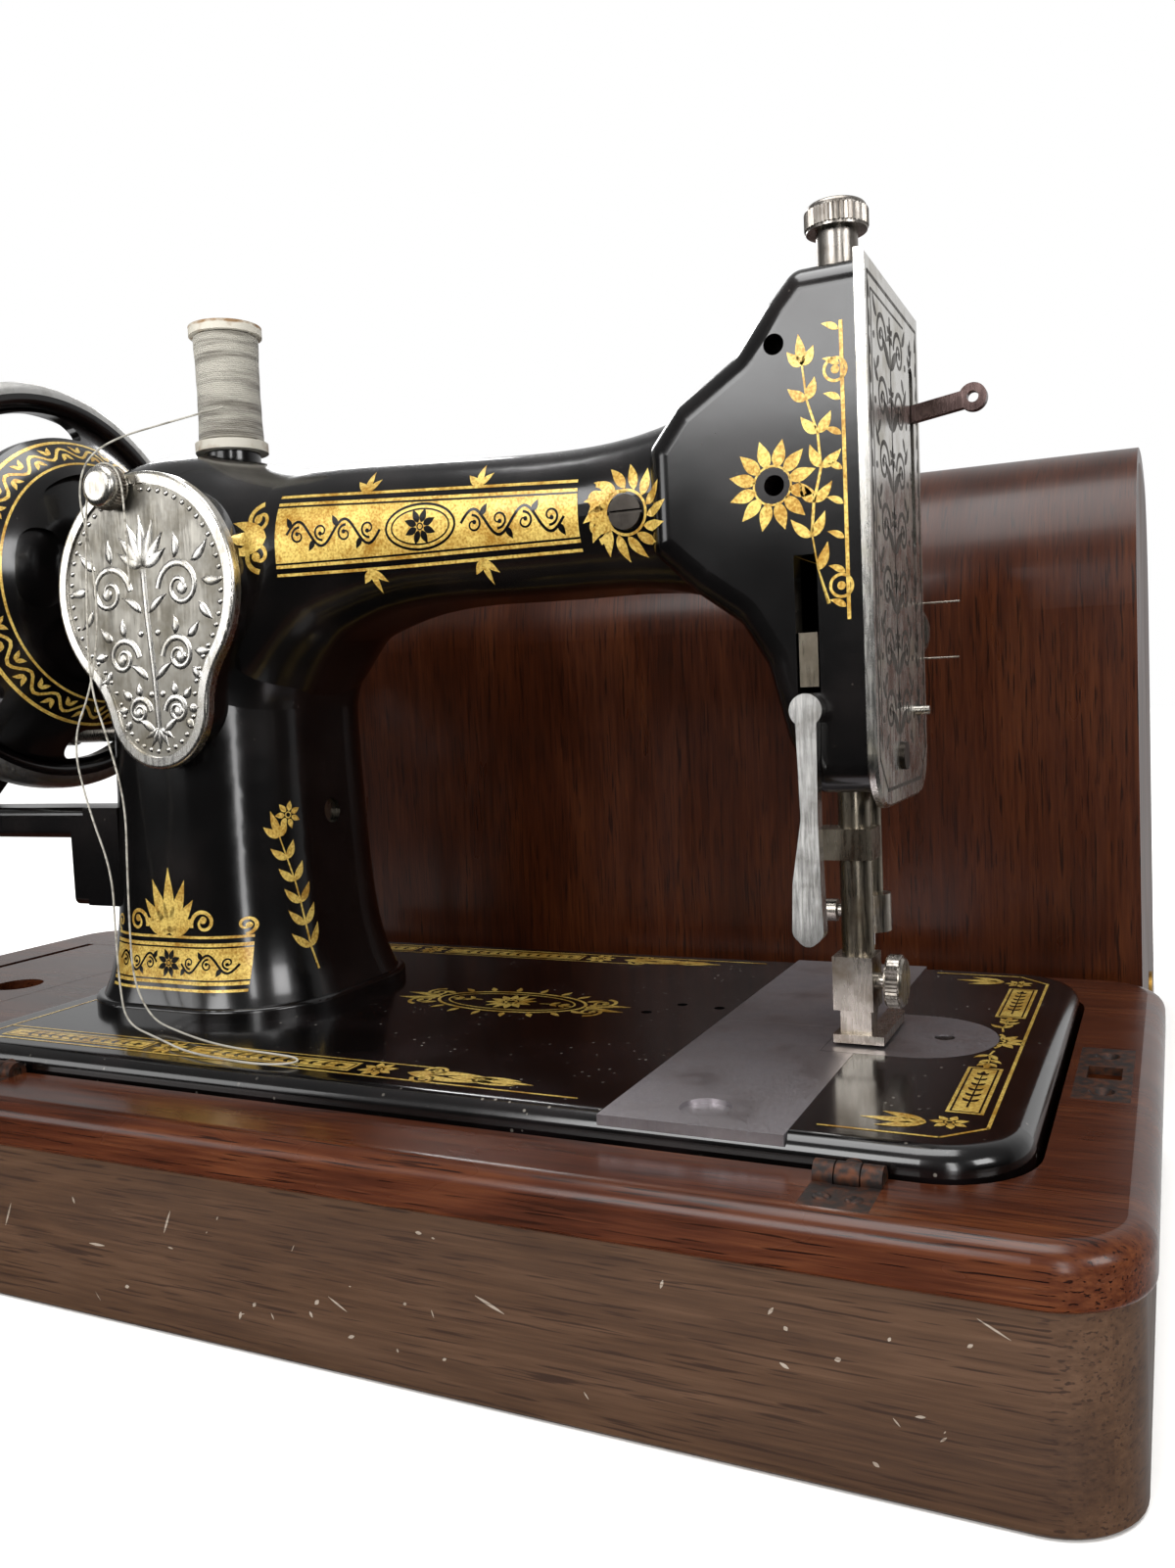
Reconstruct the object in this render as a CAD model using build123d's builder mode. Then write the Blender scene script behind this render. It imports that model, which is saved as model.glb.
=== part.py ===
from build123d import *
import os
from math import atan2, cos, degrees, pi, radians, sin, sqrt, tan

# Antique hand-crank sewing machine, hinged in a wooden base, with its bentwood lid stood behind it.
# Lengths are millimetres. The origin is the middle of the base's underside and +Z is up.
# +X runs along the bed to the needle end and +Y to the side where the user sits.

# Wooden base
base_length = 457.0
base_width = 213.0
base_corner = 20.0
floor_thick = 5.0
wall_thick = 12.0
wall_height = 37.0
moulding_overhang = 2.0
frame_thick = 12.0
moulding_round = 5.0

# Bentwood lid
lid_length = 443.0
lid_width = 199.0
lid_height = 236.0
lid_crown = 14.0
lid_shoulder = 58.0
lid_shell_thick = 5.0
lid_end_thick = 12.0
lid_gap = 8.5

# Lid furniture
lid_handle_span = 110.0
lid_handle_reach = 34.0
lid_handle_wire = 4.0
lid_handle_bend = 12.0
lid_grip_wall = 2.0
lid_grip_inset = 14.0
lid_handle_bracket_length = 18.0
lid_handle_bracket_width = 30.0
lock_case_width = 40.0
lock_case_height = 28.0
lock_case_thick = 5.0
lock_bolt_width = 8.0
lock_bolt_thick = 6.0
escutcheon_width = 22.0
escutcheon_height = 30.0
escutcheon_thick = 1.2

# Accessory compartment
accessory_lid_length = 140.0
accessory_lid_width = 57.0
accessory_lid_thick = 8.0
accessory_end_margin = 24.5
accessory_ledge = 4.5
accessory_pin_radius = 2.0
accessory_pin_length = 24.0
finger_hole_radius = 9.0

# Bed
bed_length = 308.0
bed_width = 165.0
bed_corner = 20.0
bed_proud = 6.0
bed_depth = 14.0
bed_plate = 6.0
bed_rim = 8.0
bed_edge_round = 4.5
bed_gap = 1.5
bed_end_margin = 23.0

# Bed hinges
hinge_spread = 242.0
hinge_strap_width = 14.0
hinge_strap_thick = 2.5
hinge_knuckle_radius = 3.0
hinge_pin_radius = 1.5
hinge_offset = 4.0
hinge_rise = 0.5
hinge_spur_radius = 2.4
hinge_ear_half = 2.1

# Plates let into the bed
slide_width = 43.0
slide_thick = 2.4
slide_ledge = 6.0
slide_meeting_y = 2.0
race_length = 124.0
needle_plate_thick = 2.0
needle_plate_radius = 20.5
needle_plate_reach = 12.0
needle_plate_back = 8.5
needle_hole_radius = 1.3
plate_screw_radius = 2.6
thumb_notch_radius = 6.0
feed_opening = 12.0
bed_oil_radius = 1.6

# Cast arm
pillar_from_end = 52.5
needle_from_end = 47.5
shaft_height = 140.0
pillar_foot = 45.0
pillar_ring = 4.0
pillar_bore = 25.0
pillar_corner = 32.0
spool_boss_radius = 9.0
head_front = 8.5
head_half = 33.0
head_top = 192.0
head_bottom = 66.5
head_wall = 6.0
cover_pad_y = 41.0

# Face plate and rear cover
face_plate_thick = 2.3
face_plate_low_round = 14.0
face_plate_top_round = 4.0
face_screw_radius = 1.8
cover_pad_inset = 3.0
cover_window_inset = 13.0
cover_thick = 3.2
cover_upper_radius = 34.8
cover_lower_radius = 19.5
cover_rim = 3.5
cover_waist_round = 28.0
cover_gap = 0.3
cover_screw_radius = 2.5
cover_knob_radius = 6.2
cover_knob_length = 7.0

# Handwheel and arm shaft
shaft_radius = 7.0
wheel_radius = 71.4
wheel_rim_width = 13.0
wheel_rim_depth = 9.5
wheel_rim_x = -82.5
wheel_hub_radius = 17.0
wheel_window_radius = 56.0
wheel_window_width = 10.0
wheel_window_count = 4
wheel_window_turn = 46.0
wheel_window_first = 111.0
wheel_bulge_gap = 6.0
dish_hole_count = 6
dish_hole_radius = 30.0
dish_hole_width = 15.0
dish_hole_turn = 22.0
dish_oval_depth = 2.4
dish_hole_first = 114.0
clutch_knob_radius = 15.0
clutch_knob_length = 11.0
cam_radius = 9.5
cam_throw = 2.0

# Hand crank
gear_module = 1.5
pinion_teeth = 14
crank_teeth = 42
gear_width = 9.0
crank_drop = 16.0
crank_radius = 58.0
crank_angle = 135.0
crank_shaft_radius = 6.0
crank_pin_radius = 4.0
grip_radius = 11.0
grip_length = 70.0
pinion_stud_radius = 5.0
dog_finger_radius = 3.5
bracket_thick = 6.0
bracket_bar_height = 10.0
bracket_bar_width = 20.0
bracket_bar_drop = 81.0
bracket_y = -22.0
bracket_bolt_radius = 3.0

# Needle and presser
needle_bar_radius = 3.3
needle_bar_y = 4.0
needle_radius = 0.8
presser_bar_radius = 4.1
presser_bar_y = -8.0
presser_bar_back = 1.0
presser_lift = 6.0
foot_length = 30.0
foot_width = 13.0
foot_thick = 2.2
adjuster_knob_radius = 7.6
adjuster_knob_height = 6.8
adjuster_collar_radius = 5.2
adjuster_rise = 13.6
lifter_thick = 4.0
lifter_length = 58.0
lifter_spoon = 7.8

# Thread parts
take_up_thick = 3.0
take_up_width = 4.4
take_up_eye_radius = 3.6
take_up_eye_hole = 1.5
take_up_boss = 2.5
take_up_y = 20.0
take_up_pivot_radius = 3.0
tension_stud_radius = 2.0
tension_flange_radius = 7.0
tension_nut_radius = 6.0
tension_disc_radius = 11.0
tension_disc_thick = 1.4
tension_wire = 0.6
tension_coils = 3
tension_coil_radius = 4.2
check_wire = 0.5
presser_wire = 0.8
presser_coils = 9
spool_radius = 11.6
spool_height = 40.2
spool_flange = 3.0
spool_pin_radius = 2.5
pin_spigot_radius = 2.0
bed_pin_height = 46.0
spool_pin_proud = 1.5
winding_turns = 20
winding_wire = 1.1
winding_pitch = 1.58
thread_diameter = 0.6

# Parts under the bed
carrier_radius = 120.0
carrier_stud_radius = 5.0
carrier_thick = 4.0
shuttle_length = 54.0
shuttle_radius = 4.6
feed_bar_width = 10.0
feed_bar_thick = 5.0
feed_pin_radius = 2.0
feed_travel = 2.0
rocker_pin_radius = 4.0
rocker_pin_half = 34.0
rocker_boss_radius = 9.0
rocker_thick = 8.0

# Clearances
running = 0.05
sliding = 0.1
clear = 0.3

# Levels and places worked out from the sizes above
wall_top = floor_thick + wall_height
wood_top = wall_top + frame_thick
bed_top = wood_top + bed_proud
bed_under = bed_top - bed_plate
bed_bottom = bed_top - bed_depth
bed_x = base_length / 2 - bed_end_margin - bed_length / 2
bed_left = bed_x - bed_length / 2
bed_right = bed_x + bed_length / 2
pillar_x = bed_left + pillar_from_end
needle_x = bed_right - needle_from_end
shaft_z = bed_top + shaft_height
face_x = needle_x + head_front
wall_length = base_length - 2 * moulding_overhang
wall_width = base_width - 2 * moulding_overhang
wall_corner = base_corner - moulding_overhang
wall_inside_y = wall_width / 2 - wall_thick
lid_y = base_width / 2 + lid_gap + lid_width / 2


def bar_x(radius, start, end, y, z, mode=Mode.ADD):
    """Add a round bar along X from start to end, centred on y and z."""
    with Locations(((start + end) / 2, y, z)):
        Cylinder(radius, end - start, rotation=(0, 90, 0), mode=mode)


def bar_y(radius, start, end, x, z, mode=Mode.ADD):
    """Add a round bar along Y from start to end, centred on x and z."""
    with Locations((x, (start + end) / 2, z)):
        Cylinder(radius, end - start, rotation=(90, 0, 0), mode=mode)


def bar_z(radius, start, end, x, y, mode=Mode.ADD):
    """Add a round bar along Z from start to end, centred on x and y."""
    with Locations((x, y, (start + end) / 2)):
        Cylinder(radius, end - start, mode=mode)


def block(low, high, mode=Mode.ADD):
    """Add a box between its lowest and highest corners."""
    with Locations(tuple((a + b) / 2 for a, b in zip(low, high))):
        Box(*[b - a for a, b in zip(low, high)], mode=mode)


def biarc(start, start_heading, end, end_heading):
    """Two arcs that leave start and reach end along the given unit headings."""
    span = end - start
    both = start_heading + end_heading
    square = both.dot(both) - 4
    slope = -2 * span.dot(both)
    reach = (-slope - sqrt(slope * slope - 4 * square * span.dot(span))) / (2 * square)
    if reach < 0:
        reach = (-slope + sqrt(slope * slope - 4 * square * span.dot(span))) / (2 * square)
    first = start + start_heading * reach
    second = end - end_heading * reach
    joint = (first + second) * 0.5
    return [
        TangentArc(start, joint, tangent=start_heading, mode=Mode.PRIVATE),
        TangentArc(joint, end, tangent=second - first, mode=Mode.PRIVATE),
    ]


def coil(radius, pitch, turns, lead):
    """One unbroken coil about Z, in biarcs of a quarter turn, with a straight lead at each end."""

    def place(step):
        angle = step * pi / 2
        return Vector(radius * cos(angle), radius * sin(angle), pitch * step / 4)

    def heading(step):
        angle = step * pi / 2
        return Vector(-radius * sin(angle), radius * cos(angle), pitch / (2 * pi)).normalized()

    steps = round(turns * 4)
    edges = [Line(place(0) - heading(0) * lead, place(0), mode=Mode.PRIVATE)]
    for step in range(steps):
        edges += biarc(place(step), heading(step), place(step + 1), heading(step + 1))
    edges.append(Line(place(steps), place(steps) + heading(steps) * lead, mode=Mode.PRIVATE))
    return Wire(edges)


def least_gap(path, turns, wire):
    """The least space between a coil's neighbouring turns, measured on points along it."""
    count = round(turns * 24)
    points = [path @ (i / count) for i in range(count + 1)]
    apart = [
        (points[i] - points[j]).length
        for i in range(len(points))
        for j in range(i + 14, min(i + 40, len(points)))
    ]
    return min(apart) - wire


# Wooden base
with BuildPart() as base_floor:
    with BuildSketch():
        RectangleRounded(wall_length, wall_width, wall_corner)
    extrude(amount=floor_thick)
    chamfer(base_floor.faces().sort_by(Axis.Z)[0].edges(), 1)

with BuildPart() as base_walls:
    with BuildSketch(Plane.XY.offset(floor_thick)):
        RectangleRounded(wall_length, wall_width, wall_corner)
        RectangleRounded(
            wall_length - 2 * wall_thick,
            wall_width - 2 * wall_thick,
            wall_corner - wall_thick,
            mode=Mode.SUBTRACT,
        )
    extrude(amount=wall_height)

accessory_left = -base_length / 2 + accessory_end_margin
accessory_right = accessory_left + accessory_lid_width
accessory_axis_x = accessory_left + accessory_lid_thick / 2
accessory_axis_z = wood_top - accessory_lid_thick / 2
hinge_y = -bed_width / 2 - hinge_offset
hinge_z = wood_top + hinge_rise
hinge_xs = [bed_x - hinge_spread / 2, bed_x + hinge_spread / 2]
strap_outer_y = -base_width / 2 + moulding_round
knuckle_room = hinge_knuckle_radius + 0.5
strike_x = lid_length / 2 - lid_end_thick / 2
strike_width = 13.0
strike_length = 44.0
strike_thick = 2.0
strike_screw_inset = 7.0
strike_screw_radius = 1.6
strike_screw_sink = 3.0
strike_hole_room = 1.0
strike_hole_half = lock_bolt_width / 2 + strike_hole_room
strike_hole_low_x = strike_x - lock_bolt_thick / 2 - strike_hole_room
strike_hole_high_x = strike_x + lock_bolt_thick / 2 + strike_hole_room

with BuildPart() as base_top_frame:
    with BuildSketch(Plane.XY.offset(wall_top)):
        RectangleRounded(base_length, base_width, base_corner)
    extrude(amount=frame_thick)
    fillet(base_top_frame.faces().sort_by(Axis.Z)[-1].edges(), moulding_round)
    fillet(base_top_frame.faces().sort_by(Axis.Z)[0].edges(), moulding_overhang)
    with BuildSketch(Plane.XY.offset(wall_top)):
        with Locations((bed_x, 0)):
            RectangleRounded(bed_length + 2 * bed_gap, bed_width + 2 * bed_gap, bed_corner + bed_gap)
    extrude(amount=frame_thick, mode=Mode.SUBTRACT)
    block(
        (accessory_left - clear, -accessory_lid_length / 2 - clear, wall_top),
        (accessory_right - accessory_ledge, accessory_lid_length / 2 + clear, wood_top),
        mode=Mode.SUBTRACT,
    )
    block(
        (accessory_left - clear, -accessory_lid_length / 2 - clear, wood_top - accessory_lid_thick),
        (accessory_right + clear, accessory_lid_length / 2 + clear, wood_top),
        mode=Mode.SUBTRACT,
    )
    for side in (-1, 1):
        bar_y(
            accessory_pin_radius,
            side * accessory_lid_length / 2 - accessory_pin_length / 2,
            side * accessory_lid_length / 2 + accessory_pin_length / 2,
            accessory_axis_x,
            accessory_axis_z,
            mode=Mode.SUBTRACT,
        )
    for hinge_x in hinge_xs:
        block(
            (hinge_x - hinge_strap_width / 2, strap_outer_y, wood_top - hinge_strap_thick),
            (hinge_x + hinge_strap_width / 2, -bed_width / 2, wood_top),
            mode=Mode.SUBTRACT,
        )
        block(
            (hinge_x - hinge_strap_width / 2, hinge_y - knuckle_room, hinge_z - knuckle_room),
            (hinge_x + hinge_strap_width / 2, -bed_width / 2, wood_top),
            mode=Mode.SUBTRACT,
        )
    block(
        (strike_x - strike_width / 2, -strike_length / 2, wood_top - strike_thick),
        (strike_x + strike_width / 2, strike_length / 2, wood_top),
        mode=Mode.SUBTRACT,
    )
    block(
        (strike_hole_low_x, -strike_hole_half, wall_top + 1),
        (strike_hole_high_x, strike_hole_half, wood_top),
        mode=Mode.SUBTRACT,
    )

cleat_length = 60.0
cleat_depth = 10.0
cleat_spread = 200.0
partition_thick = 8.0
partition_gap = 6.0

with BuildPart() as base_inner_blocks:
    for side in (-1, 1):
        cleat_x = bed_x + side * cleat_spread / 2
        block(
            (cleat_x - cleat_length / 2, bed_width / 2 - bed_rim, bed_bottom - cleat_depth),
            (cleat_x + cleat_length / 2, bed_width / 2 + bed_gap, bed_bottom),
        )
        block(
            (cleat_x - cleat_length / 2, bed_width / 2 + bed_gap, bed_bottom - cleat_depth),
            (cleat_x + cleat_length / 2, wall_inside_y, wall_top),
        )
    block(
        (bed_left - partition_gap - partition_thick, -wall_inside_y, floor_thick),
        (bed_left - partition_gap, wall_inside_y, wall_top),
    )

with BuildPart() as bed_hinge_straps:
    for hinge_x in hinge_xs:
        block(
            (hinge_x - hinge_strap_width / 2, strap_outer_y, wood_top - hinge_strap_thick),
            (hinge_x + hinge_strap_width / 2, hinge_y - knuckle_room, wood_top),
        )
        for side in (-1, 1):
            near = hinge_x + side * (hinge_strap_width / 2 - hinge_ear_half)
            block(
                (near - hinge_ear_half, hinge_y - knuckle_room, wood_top - hinge_strap_thick),
                (near + hinge_ear_half, hinge_y, wood_top),
            )
            bar_x(hinge_knuckle_radius, near - hinge_ear_half, near + hinge_ear_half, hinge_y, hinge_z)
        bar_x(
            hinge_pin_radius + running,
            hinge_x - hinge_strap_width / 2,
            hinge_x + hinge_strap_width / 2,
            hinge_y,
            hinge_z,
            mode=Mode.SUBTRACT,
        )

with BuildPart() as bed_hinge_pins:
    for hinge_x in hinge_xs:
        bar_x(
            hinge_pin_radius,
            hinge_x - hinge_strap_width / 2,
            hinge_x + hinge_strap_width / 2,
            hinge_y,
            hinge_z,
        )

hinge_spur_depth = 12.0

with BuildPart() as bed_hinge_knuckles:
    for hinge_x in hinge_xs:
        half = hinge_strap_width / 2 - 2 * hinge_ear_half - clear
        bar_x(hinge_knuckle_radius, hinge_x - half, hinge_x + half, hinge_y, hinge_z)
        bar_y(hinge_spur_radius, hinge_y, -bed_width / 2 + hinge_spur_depth, hinge_x, hinge_z)
        bar_x(
            hinge_pin_radius + running,
            hinge_x - half,
            hinge_x + half,
            hinge_y,
            hinge_z,
            mode=Mode.SUBTRACT,
        )

with BuildPart() as lock_strike_plate:
    block(
        (strike_x - strike_width / 2, -strike_length / 2, wood_top - strike_thick),
        (strike_x + strike_width / 2, strike_length / 2, wood_top),
    )
    block(
        (strike_hole_low_x, -strike_hole_half, wood_top - strike_thick),
        (strike_hole_high_x, strike_hole_half, wood_top),
        mode=Mode.SUBTRACT,
    )
    for side in (-1, 1):
        with Locations((strike_x, side * (strike_length / 2 - strike_screw_inset), wood_top)):
            CounterSinkHole(strike_screw_radius, strike_screw_sink)

# Accessory compartment lid
with BuildPart() as accessory_lid:
    block(
        (accessory_axis_x, -accessory_lid_length / 2, wood_top - accessory_lid_thick),
        (accessory_right, accessory_lid_length / 2, wood_top),
    )
    bar_y(
        accessory_lid_thick / 2,
        -accessory_lid_length / 2,
        accessory_lid_length / 2,
        accessory_axis_x,
        accessory_axis_z,
    )
    for side in (-1, 1):
        bar_y(
            accessory_pin_radius + running,
            side * accessory_lid_length / 2 - accessory_pin_length / 2,
            side * accessory_lid_length / 2 + accessory_pin_length / 2,
            accessory_axis_x,
            accessory_axis_z,
            mode=Mode.SUBTRACT,
        )
    bar_z(
        finger_hole_radius,
        wood_top - accessory_lid_thick,
        wood_top,
        accessory_right - 2 * finger_hole_radius,
        0,
        mode=Mode.SUBTRACT,
    )

with BuildPart() as accessory_lid_pins:
    for side in (-1, 1):
        bar_y(
            accessory_pin_radius,
            side * accessory_lid_length / 2 - accessory_pin_length / 2,
            side * accessory_lid_length / 2 + accessory_pin_length / 2,
            accessory_axis_x,
            accessory_axis_z,
        )

# Bentwood lid
lid_inside_width = lid_width - 2 * lid_shell_thick
lid_inside_height = lid_height - lid_shell_thick
lid_inside_shoulder = lid_shoulder - lid_shell_thick

with BuildPart() as lid_shell:
    with BuildSketch(Plane.YZ.offset(-lid_length / 2)):
        with BuildLine():
            Line((lid_y - lid_width / 2, 0), (lid_y + lid_width / 2, 0))
            Line((lid_y + lid_width / 2, 0), (lid_y + lid_width / 2, lid_height - lid_crown))
            ThreePointArc(
                (lid_y + lid_width / 2, lid_height - lid_crown),
                (lid_y, lid_height),
                (lid_y - lid_width / 2, lid_height - lid_crown),
            )
            Line((lid_y - lid_width / 2, lid_height - lid_crown), (lid_y - lid_width / 2, 0))
        outer = make_face()
        fillet(outer.vertices().group_by(Axis.Y)[-1], lid_shoulder)
    extrude(amount=lid_length)
    with BuildSketch(Plane.YZ.offset(-lid_length / 2)):
        with BuildLine():
            Line((lid_y - lid_inside_width / 2, 0), (lid_y + lid_inside_width / 2, 0))
            Line(
                (lid_y + lid_inside_width / 2, 0),
                (lid_y + lid_inside_width / 2, lid_inside_height - lid_crown),
            )
            ThreePointArc(
                (lid_y + lid_inside_width / 2, lid_inside_height - lid_crown),
                (lid_y, lid_inside_height),
                (lid_y - lid_inside_width / 2, lid_inside_height - lid_crown),
            )
            Line(
                (lid_y - lid_inside_width / 2, lid_inside_height - lid_crown),
                (lid_y - lid_inside_width / 2, 0),
            )
        inner = make_face()
        fillet(inner.vertices().group_by(Axis.Y)[-1], lid_inside_shoulder)
    extrude(amount=lid_length, mode=Mode.SUBTRACT)

lock_axis_z = lock_case_height / 2 + 4
keyhole_radius = 2.0

with BuildPart() as lid_end_boards:
    for start in (-lid_length / 2, lid_length / 2 - lid_end_thick):
        with BuildSketch(Plane.YZ.offset(start)):
            with BuildLine():
                Line((lid_y - lid_inside_width / 2, 0), (lid_y + lid_inside_width / 2, 0))
                Line(
                    (lid_y + lid_inside_width / 2, 0),
                    (lid_y + lid_inside_width / 2, lid_inside_height - lid_crown),
                )
                ThreePointArc(
                    (lid_y + lid_inside_width / 2, lid_inside_height - lid_crown),
                    (lid_y, lid_inside_height),
                    (lid_y - lid_inside_width / 2, lid_inside_height - lid_crown),
                )
                Line(
                    (lid_y - lid_inside_width / 2, lid_inside_height - lid_crown),
                    (lid_y - lid_inside_width / 2, 0),
                )
            end_face = make_face()
            fillet(end_face.vertices().group_by(Axis.Y)[-1], lid_inside_shoulder)
        extrude(amount=lid_end_thick)
    block(
        (strike_x - lock_bolt_thick / 2 - clear, lid_y - lock_bolt_width / 2 - clear, 0),
        (strike_x + lock_bolt_thick / 2 + clear, lid_y + lock_bolt_width / 2 + clear, lock_case_height),
        mode=Mode.SUBTRACT,
    )
    bar_x(
        keyhole_radius,
        lid_length / 2 - lid_end_thick,
        lid_length / 2,
        lid_y,
        lock_axis_z,
        mode=Mode.SUBTRACT,
    )

lid_inner_face_x = lid_length / 2 - lid_end_thick

with BuildPart() as lid_lock_case:
    block(
        (lid_inner_face_x - lock_case_thick, lid_y - lock_case_width / 2, 2),
        (lid_inner_face_x, lid_y + lock_case_width / 2, 2 + lock_case_height),
    )
    chamfer(lid_lock_case.faces().sort_by(Axis.X)[0].edges(), 1)

bolt_lift = 1.0
bolt_height = lock_case_height - 10

with BuildPart() as lid_lock_bolt:
    block(
        (strike_x - lock_bolt_thick / 2, lid_y - lock_bolt_width / 2, bolt_lift),
        (strike_x + lock_bolt_thick / 2, lid_y + lock_bolt_width / 2, bolt_lift + bolt_height),
    )
    chamfer(lid_lock_bolt.faces().sort_by(Axis.Z)[0].edges(), 0.8)

with BuildPart() as lid_escutcheon:
    with BuildSketch(Plane.YZ.offset(lid_length / 2)):
        with Locations((lid_y, lock_axis_z)):
            Ellipse(escutcheon_width / 2, escutcheon_height / 2)
            Circle(keyhole_radius, mode=Mode.SUBTRACT)
    extrude(amount=escutcheon_thick)

bracket_ear = 5.0
handle_axis_z = lid_height + 2 + lid_handle_wire + 1.5
handle_bore = lid_handle_wire / 2 + running

with BuildPart() as lid_handle_brackets:
    for side in (-1, 1):
        ear_x = side * (lid_handle_span / 2)
        block(
            (ear_x - lid_handle_bracket_length / 2, lid_y - lid_handle_bracket_width / 2, lid_height - 1.5),
            (ear_x + lid_handle_bracket_length / 2, lid_y + lid_handle_bracket_width / 2, lid_height + 2),
        )
        block(
            (ear_x - bracket_ear / 2, lid_y - 5, lid_height + 2),
            (ear_x + bracket_ear / 2, lid_y + 5, handle_axis_z),
        )
        bar_x(5, ear_x - bracket_ear / 2, ear_x + bracket_ear / 2, lid_y, handle_axis_z)
        bar_x(
            handle_bore,
            ear_x - bracket_ear / 2,
            ear_x + bracket_ear / 2,
            lid_y,
            handle_axis_z,
            mode=Mode.SUBTRACT,
        )
    add(lid_shell.part, mode=Mode.SUBTRACT)

handle_arm_x = lid_handle_span / 2 - bracket_ear / 2 - lid_handle_wire - 1

with BuildPart() as lid_handle:
    with BuildLine() as handle_line:
        FilletPolyline(
            (-handle_arm_x, lid_y, handle_axis_z),
            (-handle_arm_x, lid_y + lid_handle_reach, handle_axis_z),
            (handle_arm_x, lid_y + lid_handle_reach, handle_axis_z),
            (handle_arm_x, lid_y, handle_axis_z),
            radius=lid_handle_bend,
        )
    with BuildSketch(Plane(origin=handle_line.line @ 0, z_dir=handle_line.line % 0)):
        Circle(lid_handle_wire)
    sweep()
    for side in (-1, 1):
        with Locations((side * handle_arm_x, lid_y, handle_axis_z)):
            Sphere(lid_handle_wire)
        bar_x(
            lid_handle_wire / 2,
            min(side * handle_arm_x, side * (lid_handle_span / 2 + bracket_ear / 2)),
            max(side * handle_arm_x, side * (lid_handle_span / 2 + bracket_ear / 2)),
            lid_y,
            handle_axis_z,
        )
    bar_x(
        lid_handle_wire + lid_grip_wall,
        -handle_arm_x + lid_grip_inset,
        handle_arm_x - lid_grip_inset,
        lid_y + lid_handle_reach,
        handle_axis_z,
    )

# Bed and the plates let into it
slide_left = needle_x - slide_width
slide_right = needle_x
slide_floor = bed_top - slide_thick - sliding
race_left = slide_left + slide_ledge
race_right = slide_right - slide_ledge
plate_left = needle_x - needle_plate_back
plate_centre_x = needle_x + needle_plate_reach
plate_screw_x = plate_centre_x + 7
carrier_x = (race_left + race_right) / 2 - carrier_radius
carrier_boss = 6.0
carrier_boss_radius = 10.0
lug_inside = feed_bar_width / 2 + feed_travel + 1
lug_outside = lug_inside + 10
lug_half = 5.0
lug_xs = [carrier_x - 24, needle_x + 19]
feed_z = bed_under - 17.5
lug_bottom = feed_z - 5
rocker_slot_x = 12.0
rocker_slot_y = 22.0
bed_pin_x = pillar_x - 28
bed_pin_y = bed_width / 2 - 18
pin_socket = 8.0
oil_holes = [(needle_x - 66.5, 3.5), (needle_x - 59.5, 14.5), (needle_x - 47.5, 13.5)]

with BuildPart() as bed:
    with BuildSketch(Plane.XY.offset(bed_bottom)):
        with Locations((bed_x, 0)):
            RectangleRounded(bed_length, bed_width, bed_corner)
    extrude(amount=bed_depth)
    fillet(bed.faces().sort_by(Axis.Z)[-1].edges(), bed_edge_round)
    with BuildSketch(Plane.XY.offset(bed_bottom)):
        with Locations((bed_x, 0)):
            RectangleRounded(bed_length - 2 * bed_rim, bed_width - 2 * bed_rim, bed_corner - bed_rim)
    extrude(amount=bed_depth - bed_plate, mode=Mode.SUBTRACT)
    bar_z(carrier_boss_radius, bed_under - carrier_boss, bed_under, carrier_x, 0)
    for lug_x in lug_xs:
        for side in (-1, 1):
            block(
                (lug_x - lug_half, min(side * lug_inside, side * lug_outside), lug_bottom),
                (lug_x + lug_half, max(side * lug_inside, side * lug_outside), bed_under),
            )
        bar_y(feed_pin_radius, -lug_outside, lug_outside, lug_x, feed_z, mode=Mode.SUBTRACT)
    block(
        (slide_left, -bed_width / 2, slide_floor),
        (slide_right, bed_width / 2, bed_top),
        mode=Mode.SUBTRACT,
    )
    block(
        (race_left, -race_length / 2, bed_under),
        (race_right, race_length / 2, bed_top),
        mode=Mode.SUBTRACT,
    )
    with BuildSketch(Plane.XY.offset(bed_top - needle_plate_thick)):
        with Locations((plate_centre_x, 0)):
            Circle(needle_plate_radius + sliding)
        with Locations(((plate_left + plate_centre_x) / 2, 0)):
            Rectangle(plate_centre_x - plate_left, 2 * (needle_plate_radius + sliding))
    extrude(amount=needle_plate_thick, mode=Mode.SUBTRACT)
    block(
        (race_right - 1, -feed_opening, bed_under),
        (needle_x + feed_opening / 2, feed_opening, bed_top),
        mode=Mode.SUBTRACT,
    )
    block(
        (pillar_x - rocker_slot_x, -rocker_slot_y, bed_under),
        (pillar_x + rocker_slot_x, rocker_slot_y, bed_top),
        mode=Mode.SUBTRACT,
    )
    for hinge_x in hinge_xs:
        bar_y(
            hinge_spur_radius,
            -bed_width / 2,
            -bed_width / 2 + hinge_spur_depth,
            hinge_x,
            hinge_z,
            mode=Mode.SUBTRACT,
        )
    bar_z(
        carrier_stud_radius,
        bed_under - carrier_boss,
        bed_top - 2,
        carrier_x,
        0,
        mode=Mode.SUBTRACT,
    )
    bar_z(pin_spigot_radius, bed_top - bed_plate / 2, bed_top, bed_pin_x, bed_pin_y, mode=Mode.SUBTRACT)
    bar_z(plate_screw_radius, bed_under, bed_top, plate_screw_x, 0, mode=Mode.SUBTRACT)
    for hole_x, hole_y in oil_holes:
        bar_z(bed_oil_radius, bed_under, bed_top, hole_x, hole_y, mode=Mode.SUBTRACT)

feed_row_x = 4.5
feed_row_width = 2.0
feed_row_length = 14.0

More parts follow.
